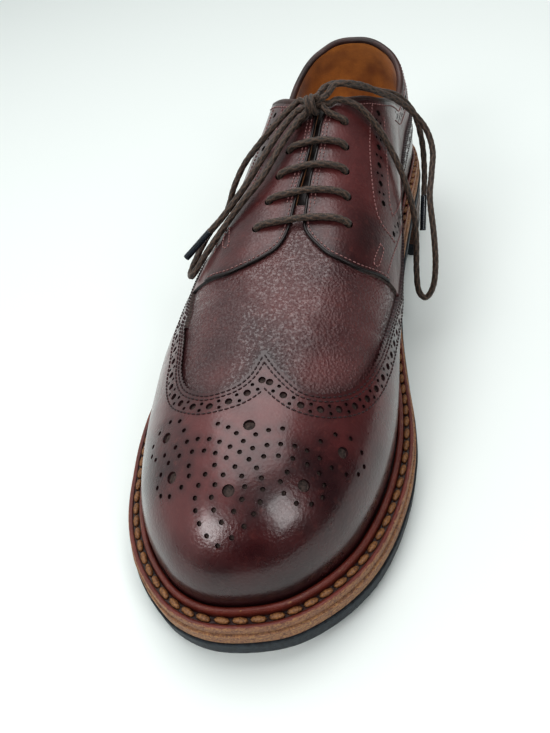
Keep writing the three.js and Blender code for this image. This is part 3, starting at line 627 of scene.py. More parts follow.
# Upper
skin = lastBody("skin", 0.0, -0.3)
layerSkin = lastBody("layerSkin", upperSizes["layer"], -0.3)
wingSkin = lastBody("wingSkin", wingGrow, -0.3)
liningSkin = lastBody("liningSkin", -upperSizes["lining"], -0.3)
hollow = lastBody("hollow", -upperSizes["lining"] + 0.06, 8, coarseColumns, coarseRises)
cavity = lastBody("cavity", -upperSizes["wall"], 8)
layerTree, wingTree = treeOf(layerSkin), treeOf(wingSkin)

wingLine = planPoints(wingFront, 1, 1.0)
toothed = pinked(wingLine, 1)
frontRegion = prismPiece("frontRegion", [(-far, toothed[0][1]), *toothed, (far, toothed[-1][1]),
                                         (far, -far), (-far, -far)], -20, far)


def wingSidePrism(name, rows, left, right):
    edge = pinked(sidePoints(rows, 1.0), -1)
    return prismPiece(name, [*edge, (edge[-1][0], -20), (edge[0][0], -20)], left, right, sideways=True)


wingRegion = frontRegion
for name, rows, left, right in (("lateralRegion", wingLateral, -far, 0),
                                ("medialRegion", wingMedial, 0, far)):
    part = wingSidePrism(name, rows, left, right)
    combine(wingRegion, part, "UNION")
    discard(part)

quarterOutline = [*planPoints(facingLateral, 1, 1.0), *planPoints(facingMedial, 1, 1.0),
                  (far, far), (-far, far)]
quarterRegion = prismPiece("quarterRegion", quarterOutline, -20, far)
collarEdge = sidePoints(topline, 1.0)
collarCut = prismPiece("collarCut", [*collarEdge, (collarEdge[-1][0] + 20, far), (collarEdge[0][0], far)],
                       -far, far, sideways=True)
slitCut = prismPiece("slitCut", [*planPoints(throatSlit, 1, 1.0), *planPoints(throatSlit, 2, 1.0)[::-1]],
                     lastSizes["instepHeight"] * 0.6, far)

eyeletPlaces = []
for medialAlong, medialAcross, lateralAlong, lateralAcross in eyelets:
    for along, across in ((medialAlong, medialAcross), (lateralAlong, lateralAcross)):
        place, normal = topHit(layerTree, across * halfBall, stationY(along))
        eyeletPlaces.append((np.array(place), np.array(normal)))
eyeletSpots = np.array([place for place, _ in eyeletPlaces])
eyeletFacing = np.array([normal for _, normal in eyeletPlaces])
sideways = np.tile([1.0, 0, 0], (len(eyeletSpots), 1))
eyeletUnder, eyeletReach = 5, 7  # how far the plug starts below the skin, and its length
eyeletPunch = runGroup(
    "eyeletPunch", punchGroup, [(eyeletSpots - eyeletFacing * eyeletUnder, eyeletFacing, sideways)],
    {"Radius": upperSizes["eyelet"] / 2 * 0.86 * mm, "Depth": eyeletReach * mm})


def trimmed(piece, *tools):
    for tool in tools:
        combine(piece, tool, "DIFFERENCE")
    return piece


vamp = trimmed(copyOf(skin, "vamp_leather"), hollow, quarterRegion, wingRegion)
quarters = copyOf(layerSkin, "quarter_leather")
combine(quarters, quarterRegion, "INTERSECT")
trimmed(quarters, hollow, wingRegion, collarCut, slitCut, eyeletPunch)
wing = copyOf(wingSkin, "wing_cap_leather")
combine(wing, wingRegion, "INTERSECT")
trimmed(wing, hollow, collarCut)
lining = trimmed(copyOf(liningSkin, "lining_leather"), cavity, collarCut, slitCut, eyeletPunch)
print("stage: upper cut from the last", [len(o.data.polygons) for o in (vamp, quarters, wing, lining)])

# Colours and finishes
def srgb(code):  # hex colour as the eye names it, turned linear
    parts = [int(code[i:i + 2], 16) / 255 for i in (1, 3, 5)]
    return tuple(p / 12.92 if p <= 0.04045 else ((p + 0.055) / 1.055) ** 2.4 for p in parts) + (1.0,)


def startMaterial(name, roughness, ior=1.5):
    material = bpy.data.materials.new(name)
    material.use_nodes = True
    tree = material.node_tree
    shader = tree.nodes["Principled BSDF"]
    shader.inputs["Roughness"].default_value = roughness
    shader.inputs["IOR"].default_value = ior
    place = addNode(tree, "ShaderNodeTexCoord").outputs["Object"]
    return material, tree, shader, place


def paintLayer(tree, pattern, low, high, under, over, most=1.0):
    # a pattern, spread between two levels, lays a colour over a colour or over a layer
    share = addNode(tree, "ShaderNodeMapRange", inputs={"From Min": low, "From Max": high, "To Max": most},
                    links={"Value": pattern.outputs["Fac"]})
    colours, links = {7: srgb(over)}, {0: share.outputs["Result"]}
    if isinstance(under, str):
        colours[6] = srgb(under)
    else:
        links[6] = under.outputs[2]
    return addNode(tree, "ShaderNodeMix", {"data_type": "RGBA"}, colours, links)


# Aniline calf, waxed and brushed: clouds of dye, darker where wax gathers, grain that breaks the shine
calfLooks = {
    "wing": {"light": "#653030", "deep": "#301316", "grain": 0.06, "roughness": 0.27, "coat": 0.4,
             "wave": 0.14, "sparkle": 0.1},
    "vamp": {"light": "#5f3838", "deep": "#3f2325", "grain": 0.4, "roughness": 0.34, "coat": 0.1,
             "wave": 0.1, "sparkle": 0.9},
    "quarter": {"light": "#5e2f2f", "deep": "#341719", "grain": 0.1, "roughness": 0.33, "coat": 0.15,
                "wave": 0.16, "sparkle": 0.3},
    # tongue: near black, painted shade for the tongue that lies in shadow under the lacing
    "tongue": {"light": "#190b0c", "deep": "#0b0405", "grain": 0.05, "roughness": 0.5, "coat": 0.0,
               "wave": 0.2, "sparkle": 0.0},
    "rim": {"light": "#4a302c", "deep": "#211514", "grain": 0.08, "roughness": 0.4, "coat": 0.0,
            "wave": 0.2, "sparkle": 0.0},
    "burnished": "#17080d", "rubbed": "#74403a", "grainCell": 1.1, "porous": 0.6, "coatRoughness": 0.15,
}
calfPatterns = {  # repeats in a metre, detail, roughness
    "cloud": (1000 / 34, 4.0, 0.55), "fleck": (420.0, 3.0, 0.65), "handling": (70.0, 3.0, 0.6),
    "tops": (1000 / 0.95, 2.0, 0.6), "pores": (1000 / 0.5, 2.0, 0.5), "wave": (85.0, 2.0, 0.5),
}


def calfLeather(name, look):
    material, tree, shader, place = startMaterial(name, look["roughness"], 1.48)
    noise = {key: addNode(tree, "ShaderNodeTexNoise", inputs={
        "Scale": scale, "Detail": detail, "Roughness": roughness}, links={"Vector": place})
        for key, (scale, detail, roughness) in calfPatterns.items()}
    tone = paintLayer(tree, noise["cloud"], 0.34, 0.66, look["deep"], look["light"])
    rubbed = paintLayer(tree, noise["fleck"], 0.55, 0.75, tone, calfLooks["rubbed"], 0.3)
    burnish = addNode(tree, "ShaderNodeAttribute", {"attribute_name": "burnish"})
    waxed = addNode(tree, "ShaderNodeMix", {"data_type": "RGBA"}, {7: srgb(calfLooks["burnished"])},
                    {0: burnish.outputs["Fac"], 6: rubbed.outputs[2]})
    tree.links.new(waxed.outputs[2], shader.inputs["Base Color"])
    gloss = addNode(tree, "ShaderNodeMapRange", inputs={
        "From Min": 0.3, "From Max": 0.7, "To Min": look["roughness"] - 0.05,
        "To Max": look["roughness"] + 0.09}, links={"Value": noise["handling"].outputs["Fac"]})
    tree.links.new(gloss.outputs["Result"], shader.inputs["Roughness"])
    # wax stands on the tops of the grain only, and glints there
    glint = addNode(tree, "ShaderNodeMapRange", inputs={
        "From Min": 0.5, "From Max": 0.62, "To Min": look["coat"],
        "To Max": look["coat"] + look["sparkle"]}, links={"Value": noise["tops"].outputs["Fac"]})
    tree.links.new(glint.outputs["Result"], shader.inputs["Coat Weight"])
    shader.inputs["Coat Roughness"].default_value = calfLooks["coatRoughness"]
    # grain cells drawn a little coarser than real calf, so that they show
    cells = addNode(tree, "ShaderNodeTexVoronoi", {"feature": "SMOOTH_F1"},
                    {"Scale": 1000 / calfLooks["grainCell"], "Smoothness": 0.5}, {"Vector": place})
    grain = addNode(tree, "ShaderNodeBump", inputs={"Distance": look["grain"] * mm},
                    links={"Height": cells.outputs["Distance"]})
    pitted = addNode(tree, "ShaderNodeBump", inputs={"Distance": look["grain"] * calfLooks["porous"] * mm},
                     links={"Height": noise["pores"].outputs["Fac"], "Normal": grain.outputs["Normal"]})
    soft = addNode(tree, "ShaderNodeBump", inputs={"Distance": look["wave"] * mm},
                   links={"Height": noise["wave"].outputs["Fac"], "Normal": pitted.outputs["Normal"]})
    tree.links.new(soft.outputs["Normal"], shader.inputs["Normal"])
    return material


polishedCalf = calfLeather("calf_waxed_polished", calfLooks["wing"])
grainedCalf = calfLeather("calf_boarded_grain", calfLooks["vamp"])
quarterCalf = calfLeather("calf_brushed_satin", calfLooks["quarter"])
# the tongue's near-black finish is painted shade
tongueShadeCalf = calfLeather("calf_matt_painted_shade", calfLooks["tongue"])
rimCalf = calfLeather("calf_rolled_rim", calfLooks["rim"])


# Plain finishes with one small pattern: two colours, pattern size in mm, roughness, relief in mm
plainLooks = {
    "edgeInk": ("edge_ink_brushed", "#070405", "#1c1011", 1.1, 0.38, 0.05),
    "pinkedEdge": ("calf_edge_gimped", "#0d0407", "#3a181c", 1.1, 0.5, 0.05),
    "sock": ("sock_leather_smooth", "#6f431f", "#94602c", 6.0, 0.6, 0.04),
    "rubber": ("rubber_moulded", "#161a1f", "#2e353c", 1.6, 0.6, 0.08),
    "aglet": ("acetate_rolled", "#10141a", "#232a34", 3.0, 0.2, 0.01),
    "wingThread": ("thread_bonded_dark", "#0f0507", "#36171b", 0.4, 0.5, 0.03),
    "quarterThread": ("thread_bonded_red", "#5d3838", "#a27a77", 0.4, 0.55, 0.03),
    "holeFloor": ("backing_felt_dark", "#1a0d0c", "#4c3d38", 0.9, 0.8, 0.1),
    "weltThread": ("linen_thread_waxed", "#553420", "#94683f", 0.7, 0.5, 0.12),
}


def plainFinish(look):
    name, dark, light, size, roughness, relief = look
    material, tree, shader, place = startMaterial(name, roughness)
    pattern = addNode(tree, "ShaderNodeTexNoise", inputs={
        "Scale": 1000 / size, "Detail": 3.0, "Roughness": 0.6}, links={"Vector": place})
    tone = paintLayer(tree, pattern, 0.34, 0.66, dark, light)
    tree.links.new(tone.outputs[2], shader.inputs["Base Color"])
    bump = addNode(tree, "ShaderNodeBump", inputs={"Distance": relief * mm},
                   links={"Height": pattern.outputs["Fac"]})
    tree.links.new(bump.outputs["Normal"], shader.inputs["Normal"])
    return material


edgeInk = plainFinish(plainLooks["edgeInk"])  # black paint on a cut edge: a hard dark line
pinkedEdge = plainFinish(plainLooks["pinkedEdge"])  # small teeth, dyed through
sockLeather = plainFinish(plainLooks["sock"])
rubberSole = plainFinish(plainLooks["rubber"])  # dull blue-black, faintly mottled
agletPlastic = plainFinish(plainLooks["aglet"])
holeFloor = plainFinish(plainLooks["holeFloor"])  # grey-brown backing seen in the perforations
wingThread = plainFinish(plainLooks["wingThread"])
quarterThread = plainFinish(plainLooks["quarterThread"])
weltThread = plainFinish(plainLooks["weltThread"])  # thick tan thread with a waxy glint
rubberSole.node_tree.nodes["Principled BSDF"].inputs["Specular IOR Level"].default_value = 0.35

# Split suede, buffed: orange-brown nap with strokes where it was rubbed, no shine
suedeLook = {"light": "#d88d3c", "deep": "#8a5122", "stroke": 14.0, "nap": 0.42, "relief": 0.12}
suede, tree, shader, place = startMaterial("lining_suede_buffed", 0.92)
strokes = addNode(tree, "ShaderNodeTexNoise", inputs={"Scale": 1000 / suedeLook["stroke"], "Detail": 4.0},
                  links={"Vector": place})
brushed = paintLayer(tree, strokes, 0.3, 0.7, suedeLook["deep"], suedeLook["light"])
nap = addNode(tree, "ShaderNodeTexNoise", inputs={"Scale": 1000 / suedeLook["nap"], "Roughness": 0.7},
              links={"Vector": place})
nappy = paintLayer(tree, nap, 0.4, 0.7, brushed, suedeLook["deep"], 0.5)
tree.links.new(nappy.outputs[2], shader.inputs["Base Color"])
shader.inputs["Sheen Weight"].default_value = 0.3
shader.inputs["Sheen Roughness"].default_value = 0.5
fuzz = addNode(tree, "ShaderNodeBump", inputs={"Distance": suedeLook["relief"] * mm},
               links={"Height": nap.outputs["Fac"]})
tree.links.new(fuzz.outputs["Normal"], shader.inputs["Normal"])

# Sole leather, trimmed and worn: grey-brown fibres along the edge, tan where it is rubbed through
edgeLook = {
    "grey": "#775749", "tan": "#a97c59", "dark": "#38251f", "pale": "#b8935f", "fibre": 2.6, "fleck": 0.75,
    "relief": 0.3, "waxDeep": "#471a15", "waxLight": "#783327", "groove": "#1f0a09",
    "waxClouds": 110.0, "wornSpots": 620.0, "coat": 0.12, "coatRoughness": 0.25,
}


def soleLeather(name, redShare):
    material, tree, shader, place = startMaterial(name, 0.72)
    flat = addNode(tree, "ShaderNodeMapping", inputs={"Scale": (1, 1, 3.2)}, links={"Vector": place})
    fibres = addNode(tree, "ShaderNodeTexNoise", inputs={
        "Scale": 1000 / edgeLook["fibre"], "Detail": 4.0, "Roughness": 0.7},
        links={"Vector": flat.outputs["Vector"]})
    fibrous = paintLayer(tree, fibres, 0.36, 0.7, edgeLook["grey"], edgeLook["tan"])
    flecks = addNode(tree, "ShaderNodeTexNoise", inputs={
        "Scale": 1000 / edgeLook["fleck"], "Detail": 3.0, "Roughness": 0.7}, links={"Vector": place})
    speckled = paintLayer(tree, flecks, 0.54, 0.64, fibrous, edgeLook["pale"], 0.7)
    dirty = paintLayer(tree, flecks, 0.44, 0.34, speckled, edgeLook["dark"], 0.75)
    rough = addNode(tree, "ShaderNodeBump", inputs={"Distance": edgeLook["relief"] * mm},
                    links={"Height": flecks.outputs["Fac"]})
    tree.links.new(rough.outputs["Normal"], shader.inputs["Normal"])
    if not redShare:
        tree.links.new(dirty.outputs[2], shader.inputs["Base Color"])
        return material
    # waxed red on top, worn to tan along the lip, painted shade dark in the groove and where the rib meets
    # the upper
    clouds = addNode(tree, "ShaderNodeTexNoise", inputs={"Scale": edgeLook["waxClouds"], "Detail": 3.0},
                     links={"Vector": place})
    red = addNode(tree, "ShaderNodeMix", {"data_type": "RGBA"},
                  {6: srgb(edgeLook["waxDeep"]), 7: srgb(edgeLook["waxLight"])}, {0: clouds.outputs["Fac"]})
    wear = addNode(tree, "ShaderNodeAttribute", {"attribute_name": "wear"})
    spots = addNode(tree, "ShaderNodeTexNoise", inputs={
        "Scale": edgeLook["wornSpots"], "Detail": 4.0, "Roughness": 0.7}, links={"Vector": place})
    reach = addNode(tree, "ShaderNodeMath", {"operation": "ADD"},
                    links={0: wear.outputs["Fac"], 1: spots.outputs["Fac"]})
    through = addNode(tree, "ShaderNodeMapRange", inputs={
        "From Min": 1.0, "From Max": 1.18, "To Max": 0.85}, links={"Value": reach.outputs["Value"]})
    worn = addNode(tree, "ShaderNodeMix", {"data_type": "RGBA"},
                   links={0: through.outputs["Result"], 6: red.outputs[2], 7: dirty.outputs[2]})
    # painted shade: dark in the groove and at the foot of the rib
    groove = addNode(tree, "ShaderNodeAttribute", {"attribute_name": "groove"})
    shaded = addNode(tree, "ShaderNodeMix", {"data_type": "RGBA"}, {7: srgb(edgeLook["groove"])},
                     {0: groove.outputs["Fac"], 6: worn.outputs[2]})
    tree.links.new(shaded.outputs[2], shader.inputs["Base Color"])
    shine = addNode(tree, "ShaderNodeMapRange", inputs={"From Min": 0.9, "From Max": 1.15,
                                                       "To Min": 0.3, "To Max": 0.75},
                    links={"Value": reach.outputs["Value"]})
    tree.links.new(shine.outputs["Result"], shader.inputs["Roughness"])
    shader.inputs["Coat Weight"].default_value = edgeLook["coat"]
    shader.inputs["Coat Roughness"].default_value = edgeLook["coatRoughness"]
    return material


midsoleEdge = soleLeather("sole_leather_trimmed", False)
weltLeather = soleLeather("welt_leather_waxed", True)

# Heel lifts: stacked leather, inked and burnished, in thin layers
heelLook = {"deep": "#2c1a15", "light": "#6a4430", "layers": (0.5, 0.5, 5), "plies": 260.0, "relief": 0.08}
stackedLeather, tree, shader, place = startMaterial("heel_leather_inked", 0.45)
stretched = addNode(tree, "ShaderNodeMapping", inputs={"Scale": heelLook["layers"]},
                    links={"Vector": place})
plies = addNode(tree, "ShaderNodeTexNoise", inputs={
    "Scale": heelLook["plies"], "Detail": 3.0, "Roughness": 0.6},
    links={"Vector": stretched.outputs["Vector"]})
inked = paintLayer(tree, plies, 0.35, 0.68, heelLook["deep"], heelLook["light"])
tree.links.new(inked.outputs[2], shader.inputs["Base Color"])
ridged = addNode(tree, "ShaderNodeBump", inputs={"Distance": heelLook["relief"] * mm},
                 links={"Height": plies.outputs["Fac"]})
tree.links.new(ridged.outputs["Normal"], shader.inputs["Normal"])

# Cotton braid, waxed: brown with paler fibres, painted shade dark between the strands
braidLook = {"deep": "#1f1612", "light": "#6f5646", "valley_shade": "#0d0806", "fibre": 2300.0, "relief": 0.14}
lacing, tree, shader, place = startMaterial("cotton_braid_waxed", 0.6)
fibre = addNode(tree, "ShaderNodeTexNoise", inputs={
    "Scale": braidLook["fibre"], "Detail": 3.0, "Roughness": 0.7}, links={"Vector": place})
yarn = paintLayer(tree, fibre, 0.36, 0.68, braidLook["deep"], braidLook["light"])
# painted shade in the valleys between the strands of the braid
valley_shade = addNode(tree, "ShaderNodeAttribute", {"attribute_name": "valley_shade"})
braided = addNode(tree, "ShaderNodeMix", {"data_type": "RGBA"}, {7: srgb(braidLook["valley_shade"])},
                  {0: valley_shade.outputs["Fac"], 6: yarn.outputs[2]})
tree.links.new(braided.outputs[2], shader.inputs["Base Color"])
shader.inputs["Sheen Weight"].default_value = 0.12
rough = addNode(tree, "ShaderNodeBump", inputs={"Distance": braidLook["relief"] * mm},
                links={"Height": fibre.outputs["Fac"]})
tree.links.new(rough.outputs["Normal"], shader.inputs["Normal"])

floorPaper, tree, shader, place = startMaterial("paper_sweep", 0.85)
shader.inputs["Base Color"].default_value = srgb("#e9eeec")  # the pale sweep of the photo
shader.inputs["Specular IOR Level"].default_value = 0.2


def dress(piece, *materials):
    piece.data.materials.clear()
    for material in materials:
        piece.data.materials.append(material)


print("stage: finishes ready")

# Seams, stitches and perforations
# Rows and holes: distances from the edge that they follow, and steps along it, in mm
broguing = {
    "edgeRows": (1.1, 2.7), "innerRow": 8.6, "holeLine": 5.7, "holePitch": 7.0, "pairOffset": 1.4,
    "collarRow": 1.8, "collarHoles": 4.9, "collarLowRow": 8.0, "bandPitch": 9.2,
    "facingRow": 1.5, "slitRow": 3.1, "plugShare": 0.9, "pairShare": 0.85,
    "rosetteX": 1.0, "rosetteA": 32.4, "lean": 0.084, "shear": 0.17,
}
wingSewing = {"pitch": 2.1, "length": 1.75, "width": 0.62, "height": 0.5}
quarterSewing = {"pitch": 1.9, "length": 1.45, "width": 0.6, "height": 0.5}
# Half of the toe rosette, off its axis and along it in mm; the other half mirrors it
rosetteLarge = [(0, 22.6), (30, 21.6), (21.8, 5.9), (0, 0)]
rosetteDots = [
    (0, 16.4), (0, 12.5), (0, 7.5), (0, -8.7), (0, -14.4), (3.2, 19.2), (6.7, 21.4), (10.8, 22.9),
    (3.7, 14.2), (7.8, 15.9), (11.8, 17.1), (16.1, 17.6), (20, 17.3), (3.7, 10.3), (7.9, 11.9),
    (12.2, 13), (16.6, 13.2), (21.2, 12.7), (25.1, 11.4), (27.3, 8.5), (27.6, 4.8), (25, 1.6),
    (20.8, 0.2), (16.7, 1.9), (14.9, 5), (16.1, 8.4), (6.8, 7.8), (3, 4.7), (9.1, 4.9), (4.8, 1.6),
    (10.4, 1.6), (4.9, -2.1), (10.5, -2.1), (3.2, -5.6), (9.4, -5.6), (7.2, -9.1), (4, -12.2),
    (23, 22.1), (24.1, 16.3), (28.1, 14.9), (32.4, 15.3), (35.4, 18), (36.4, 21.8), (34.9, 25.6),
    (31, 27.9), (26.5, 26.6),
]
# Lines of the brogued band on the quarter, medial side: x, distance behind the toe, height
bandFront = [(23, 213, 101), (23.8, 208.8, 98.5), (24.3, 196, 93.8), (26.1, 180.8, 87.1),
             (30, 163.3, 77.9), (33.4, 157.6, 71), (38.4, 158.7, 61.7)]
bandRear = [(28.8, 211, 92), (30.8, 196.6, 84.5), (32.1, 187.6, 79.9), (34.5, 173.6, 72.7),
            (36.3, 168.6, 68)]
bandUpper = [(36.3, 168.6, 68), (37.4, 180, 65.6), (37.6, 194.1, 62.9), (37.5, 214, 59.6), (37, 226, 58)]
bandLower = [(37.8, 139.1, 60.8), (38.5, 150.2, 61), (39.2, 165, 59.4), (39.2, 180, 56), (39, 192, 52.6)]
bandMiddle = [(38.4, 158.7, 65), (38.3, 172, 62.4), (38.3, 190, 59), (38, 206, 57.6)]
tackBox = [(34.2, 147.5, 69), (35.4, 147, 66.6), (34.6, 137.5, 65.8), (33, 137, 68.2), (34.2, 147.5, 69)]


def sideLine(rows, side, tree, first, final):
    out = []
    for y, z in sidePoints(rows, 1.0, first, final):
        place, _ = sideHit(tree, y, z, side)
        if place is not None:
            out.append(np.array(place))
    return np.array(out)


def topLine(points, tree):
    hits = [topHit(tree, x, y)[0] for x, y in points]
    return np.array([np.array(hit) for hit in hits if hit is not None])


def onShoe(rows, side, tree):  # a table line of the medial side, or its mirror over the throat
    line = [(x if side > 0 else 10.4 - x, a - 271, z + (0 if side > 0 else 3)) for x, a, z in rows]
    return drape(splineThrough(line, 0.6), tree)[0]


heelPoint = np.array(wingTree.find_nearest(Vector((0, 40, 62.5)))[0])
wingEdge = np.vstack([
    heelPoint[None], sideLine(wingLateral, -1, wingTree, 0.655, -0.01)[::-1],
    topLine([p for p in wingLine if p[1] < stationY(0.66)], wingTree),
    sideLine(wingMedial, 1, wingTree, 0.655, -0.01), heelPoint[None]])
wingEdge = drape(resample(wingEdge, 0.6), wingTree)[0]

wingRows = [run for d in broguing["edgeRows"] for run in beside(wingEdge, -d, wingTree)]
wingRows += beside(wingEdge, -broguing["innerRow"], wingTree)

# rim of the collar, from the lateral facing round the heel to the medial facing
toplineUp = tableCurve(topline)


def rimPoints(grow, cols=columns):
    rises = np.linspace(0, 1, 400)
    rows = np.array([cols.point(rise, grow) for rise in rises])
    along = alongOf(rows[:, :, 1])
    height = featherHeight(along) + toplineUp(along) * lastSizes["collarHeight"]
    above = rows[:, :, 2] > height
    half = cols.count // 2
    rim = []
    for k in [*range(half, cols.count), *range(0, half)]:
        hit = np.argmax(above[:, k])
        if above[hit, k] and hit > 0 and rows[hit, k, 1] > stationY(0.395):
            rim.append(rows[hit, k])
    return np.array(rim)


collarRun = drape(splineThrough(rimPoints(upperSizes["layer"])[::3], 0.6), layerTree)[0]
collarTurn = beside(collarRun, broguing["collarLowRow"], layerTree)[0]
collarSide = 1 if collarTurn[len(collarTurn) // 2][2] < collarRun[len(collarRun) // 2][2] else -1


def underRim(run, drop):  # the part of a line that lies below the cut of the collar
    along = alongOf(run[:, 1])
    height = featherHeight(along) + toplineUp(along) * lastSizes["collarHeight"]
    return run[run[:, 2] < height - drop]


def collarLines(distance, front):  # rows below the rim, kept rearward of a station
    runs = [underRim(run, 0.6 * distance) for run in beside(collarRun, distance * collarSide, layerTree)]
    return [run[run[:, 1] > stationY(front)] for run in runs]


facingRuns = []
facingEdges = []
for column, tab, sign in ((1, facingLateral[::-1], -1), (2, facingMedial, 1)):
    upper = [(row[column] * halfBall, stationY(row[0])) for row in throatSlit[:-1]][::-1]
    top = (throatSlit[-1][column] * halfBall, stationY(0.372))
    upper = [top] + [p for p in upper if p[1] < stationY(0.38)]
    slit = topLine(splineThrough(upper, 0.6), layerTree)
    corner = [(across * halfBall, stationY(along)) for along, across in tab if abs(across) < 0.86]
    edge = np.vstack([slit, topLine(splineThrough(corner, 0.6), layerTree)])
    facingEdges.append(drape(resample(edge, 0.8), layerTree)[0])
    facingRuns += beside(edge, broguing["facingRow"] * sign, layerTree)
    facingRuns += beside(slit, broguing["slitRow"] * sign, layerTree)

quarterRuns = []
bandHoles = []
for side in (-1, 1):
    for rows in (bandFront, bandRear, bandUpper, bandLower, tackBox):
        quarterRuns.append(onShoe(rows, side, layerTree))
    front, rear = onShoe(bandFront, side, layerTree), onShoe(bandRear, side, layerTree)
    pairs = [(front[int(t * (len(front) * 0.7 - 1))] + rear[int(t * (len(rear) - 1))]) / 2
             for t in np.linspace(0.02, 1, 24)]
    bandHoles.append(drape(resample(pairs, 0.6), layerTree)[0])
    bandHoles.append(onShoe(bandMiddle, side, layerTree))
quarterRuns = [underRim(run, 1.5) for run in quarterRuns]
bandHoles = [underRim(run, 2.5) for run in bandHoles]
quarterRuns += facingRuns + collarLines(broguing["collarRow"], 0.36)
quarterRuns += collarLines(broguing["collarLowRow"], 0.26)
bandHoles += collarLines(broguing["collarHoles"], 0.25)


def punchSpots(lines, tree, pitch, start=3.0):  # a large hole, then a pair of small ones
    large, small = [], []
    for line in lines:
        if len(line) < 8:
            continue
        spots, facing, heading = alongLine(line, tree, pitch / 2, start)
        side = np.cross(facing, heading)
        large.append((spots[::2], facing[::2], heading[::2]))
        for sign in (-1, 1):
            moved, turned = drape(spots[1::2] + side[1::2] * sign * broguing["pairOffset"], tree)
            if len(moved):
                small.append((moved, turned, heading[1::2]))
    return large, small


def drill(piece, places, radius):
    depth = upperSizes["holeDepth"]
    sunk = [(spots - facing * depth, facing, heading) for spots, facing, heading in places]
    tool = runGroup("punch", punchGroup, sunk, {"Radius": radius * mm, "Depth": (depth + 1.2) * mm})
    combine(piece, tool, "DIFFERENCE")
    discard(tool)
    return np.vstack([spots for spots, _, _ in places])


bandLines = beside(wingEdge, -broguing["holeLine"], wingTree)
axis = np.array([broguing["lean"], 1.0]) / math.hypot(broguing["lean"], 1)
across = np.array([axis[1], -axis[0]])


def rosette(chart):
    spots, facing = [], []
    for off, up in chart:
        for sign in ((1, -1) if off else (1,)):
            u = sign * off
            x, a = np.array([broguing["rosetteX"], broguing["rosetteA"]]) + u * across \
                + (up + broguing["shear"] * u) * axis
            place, normal = topHit(wingTree, x, a - 271)
            spots.append(place)
            facing.append(normal)
    return [(np.array(spots), np.array(facing), np.tile([1.0, 0, 0], (len(spots), 1)))]


wingLarge, wingSmall = punchSpots(bandLines, wingTree, broguing["holePitch"])
holes = [drill(wing, places, upperSizes[size] / 2 * broguing["plugShare"]) for places, size in (
    (wingLarge, "largeHole"), (wingSmall, "smallHole"), (rosette(rosetteLarge), "rosetteHole"),
    (rosette(rosetteDots), "rosetteDot"))]
quarterLarge, quarterSmall = punchSpots(bandHoles, layerTree, broguing["bandPitch"])
quarterHoles = [drill(quarters, quarterLarge, upperSizes["largeHole"] / 2 * broguing["plugShare"]),
                drill(quarters, quarterSmall, upperSizes["smallHole"] / 2 * broguing["pairShare"])]
print("stage: holes punched", len(np.vstack(holes)), len(np.vstack(quarterHoles)))


def sewn(name, runs, tree, material, sewing):
    places = [alongLine(run, tree, sewing["pitch"], 0.8, sewing["height"] * 0.25)
              for run in runs if len(run) > 8]
    seam = runGroup(name, stitchGroup, places, {
        "Length": sewing["length"] * mm, "Width": sewing["width"] * mm, "Height": sewing["height"] * mm},
        material)
    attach(seam, "root")


sewn("wing_stitching", wingRows, wingTree, wingThread, wingSewing)
sewn("quarter_stitching", quarterRuns, layerTree, quarterThread, quarterSewing)


# burnish: dye gathers along edges, seams and the rims of the holes, and the upper is made darker towards
# the sole
def burnish(piece, lines, reach, strength, spots=None, spotReach=2.2, footReach=14.0):
    near = pointFinder(np.vstack([np.asarray(line) for line in lines]))
    holesNear = None if spots is None else pointFinder(spots)
    values = []
    for vertex in piece.data.vertices:
        p = vertex.co / mm
        value = strength * math.exp(-((near.find(p)[2] / reach) ** 2))
        if holesNear is not None:
            value = max(value, 0.55 * math.exp(-((holesNear.find(p)[2] / spotReach) ** 2)))
        # darker towards the sole
        foot = p[2] - featherHeightFast(p[1])
        value = max(value, 0.85 * math.exp(-((max(foot, 0) / footReach) ** 2)))
        values.append(value)
    markPoints(piece, "burnish", values)


footTable = featherHeight(np.linspace(-0.2, 1.2, 1401))


def featherHeightFast(y):
    return footTable[min(max(int((alongOf(y) + 0.2) * 1000), 0), 1400)]


def inkEdges(piece, tree, walls, floor):
    # cut walls stand across the skin and take the second finish, what lies under it takes the third
    piece.data.materials.append(walls)
    piece.data.materials.append(floor)
    for face in piece.data.polygons:
        _, normal, _, depth = tree.find_nearest(face.center / mm)
        if abs(normal.dot(face.normal)) < 0.55:
            face.material_index = 1
        elif depth > 0.45:
            face.material_index = 2


dress(wing, polishedCalf)
dress(quarters, quarterCalf)
dress(vamp, grainedCalf)
dress(lining, suede)
inkEdges(quarters, layerTree, edgeInk, holeFloor)
inkEdges(wing, wingTree, pinkedEdge, holeFloor)
inkEdges(lining, treeOf(lining), sockLeather, suede)
burnish(wing, [wingEdge], 2.6, 0.6, np.vstack(holes), footReach=24.0)
burnish(quarters, [collarRun, *facingRuns], 2.2, 0.5, np.vstack(quarterHoles))
burnish(vamp, [wingEdge], 5.0, 0.55)
for piece in (wing, quarters, vamp, lining):
    smoothShade(piece, 36)
    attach(piece, "root")
    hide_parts("upper")
print("stage: upper sewn and finished")

# rolled edge of the collar, and the tongue
rollSizes = {"radius": 1.75, "sides": 12, "step": 1.2}
inkSizes = {"radius": 0.62, "sides": 8, "step": 1.0}


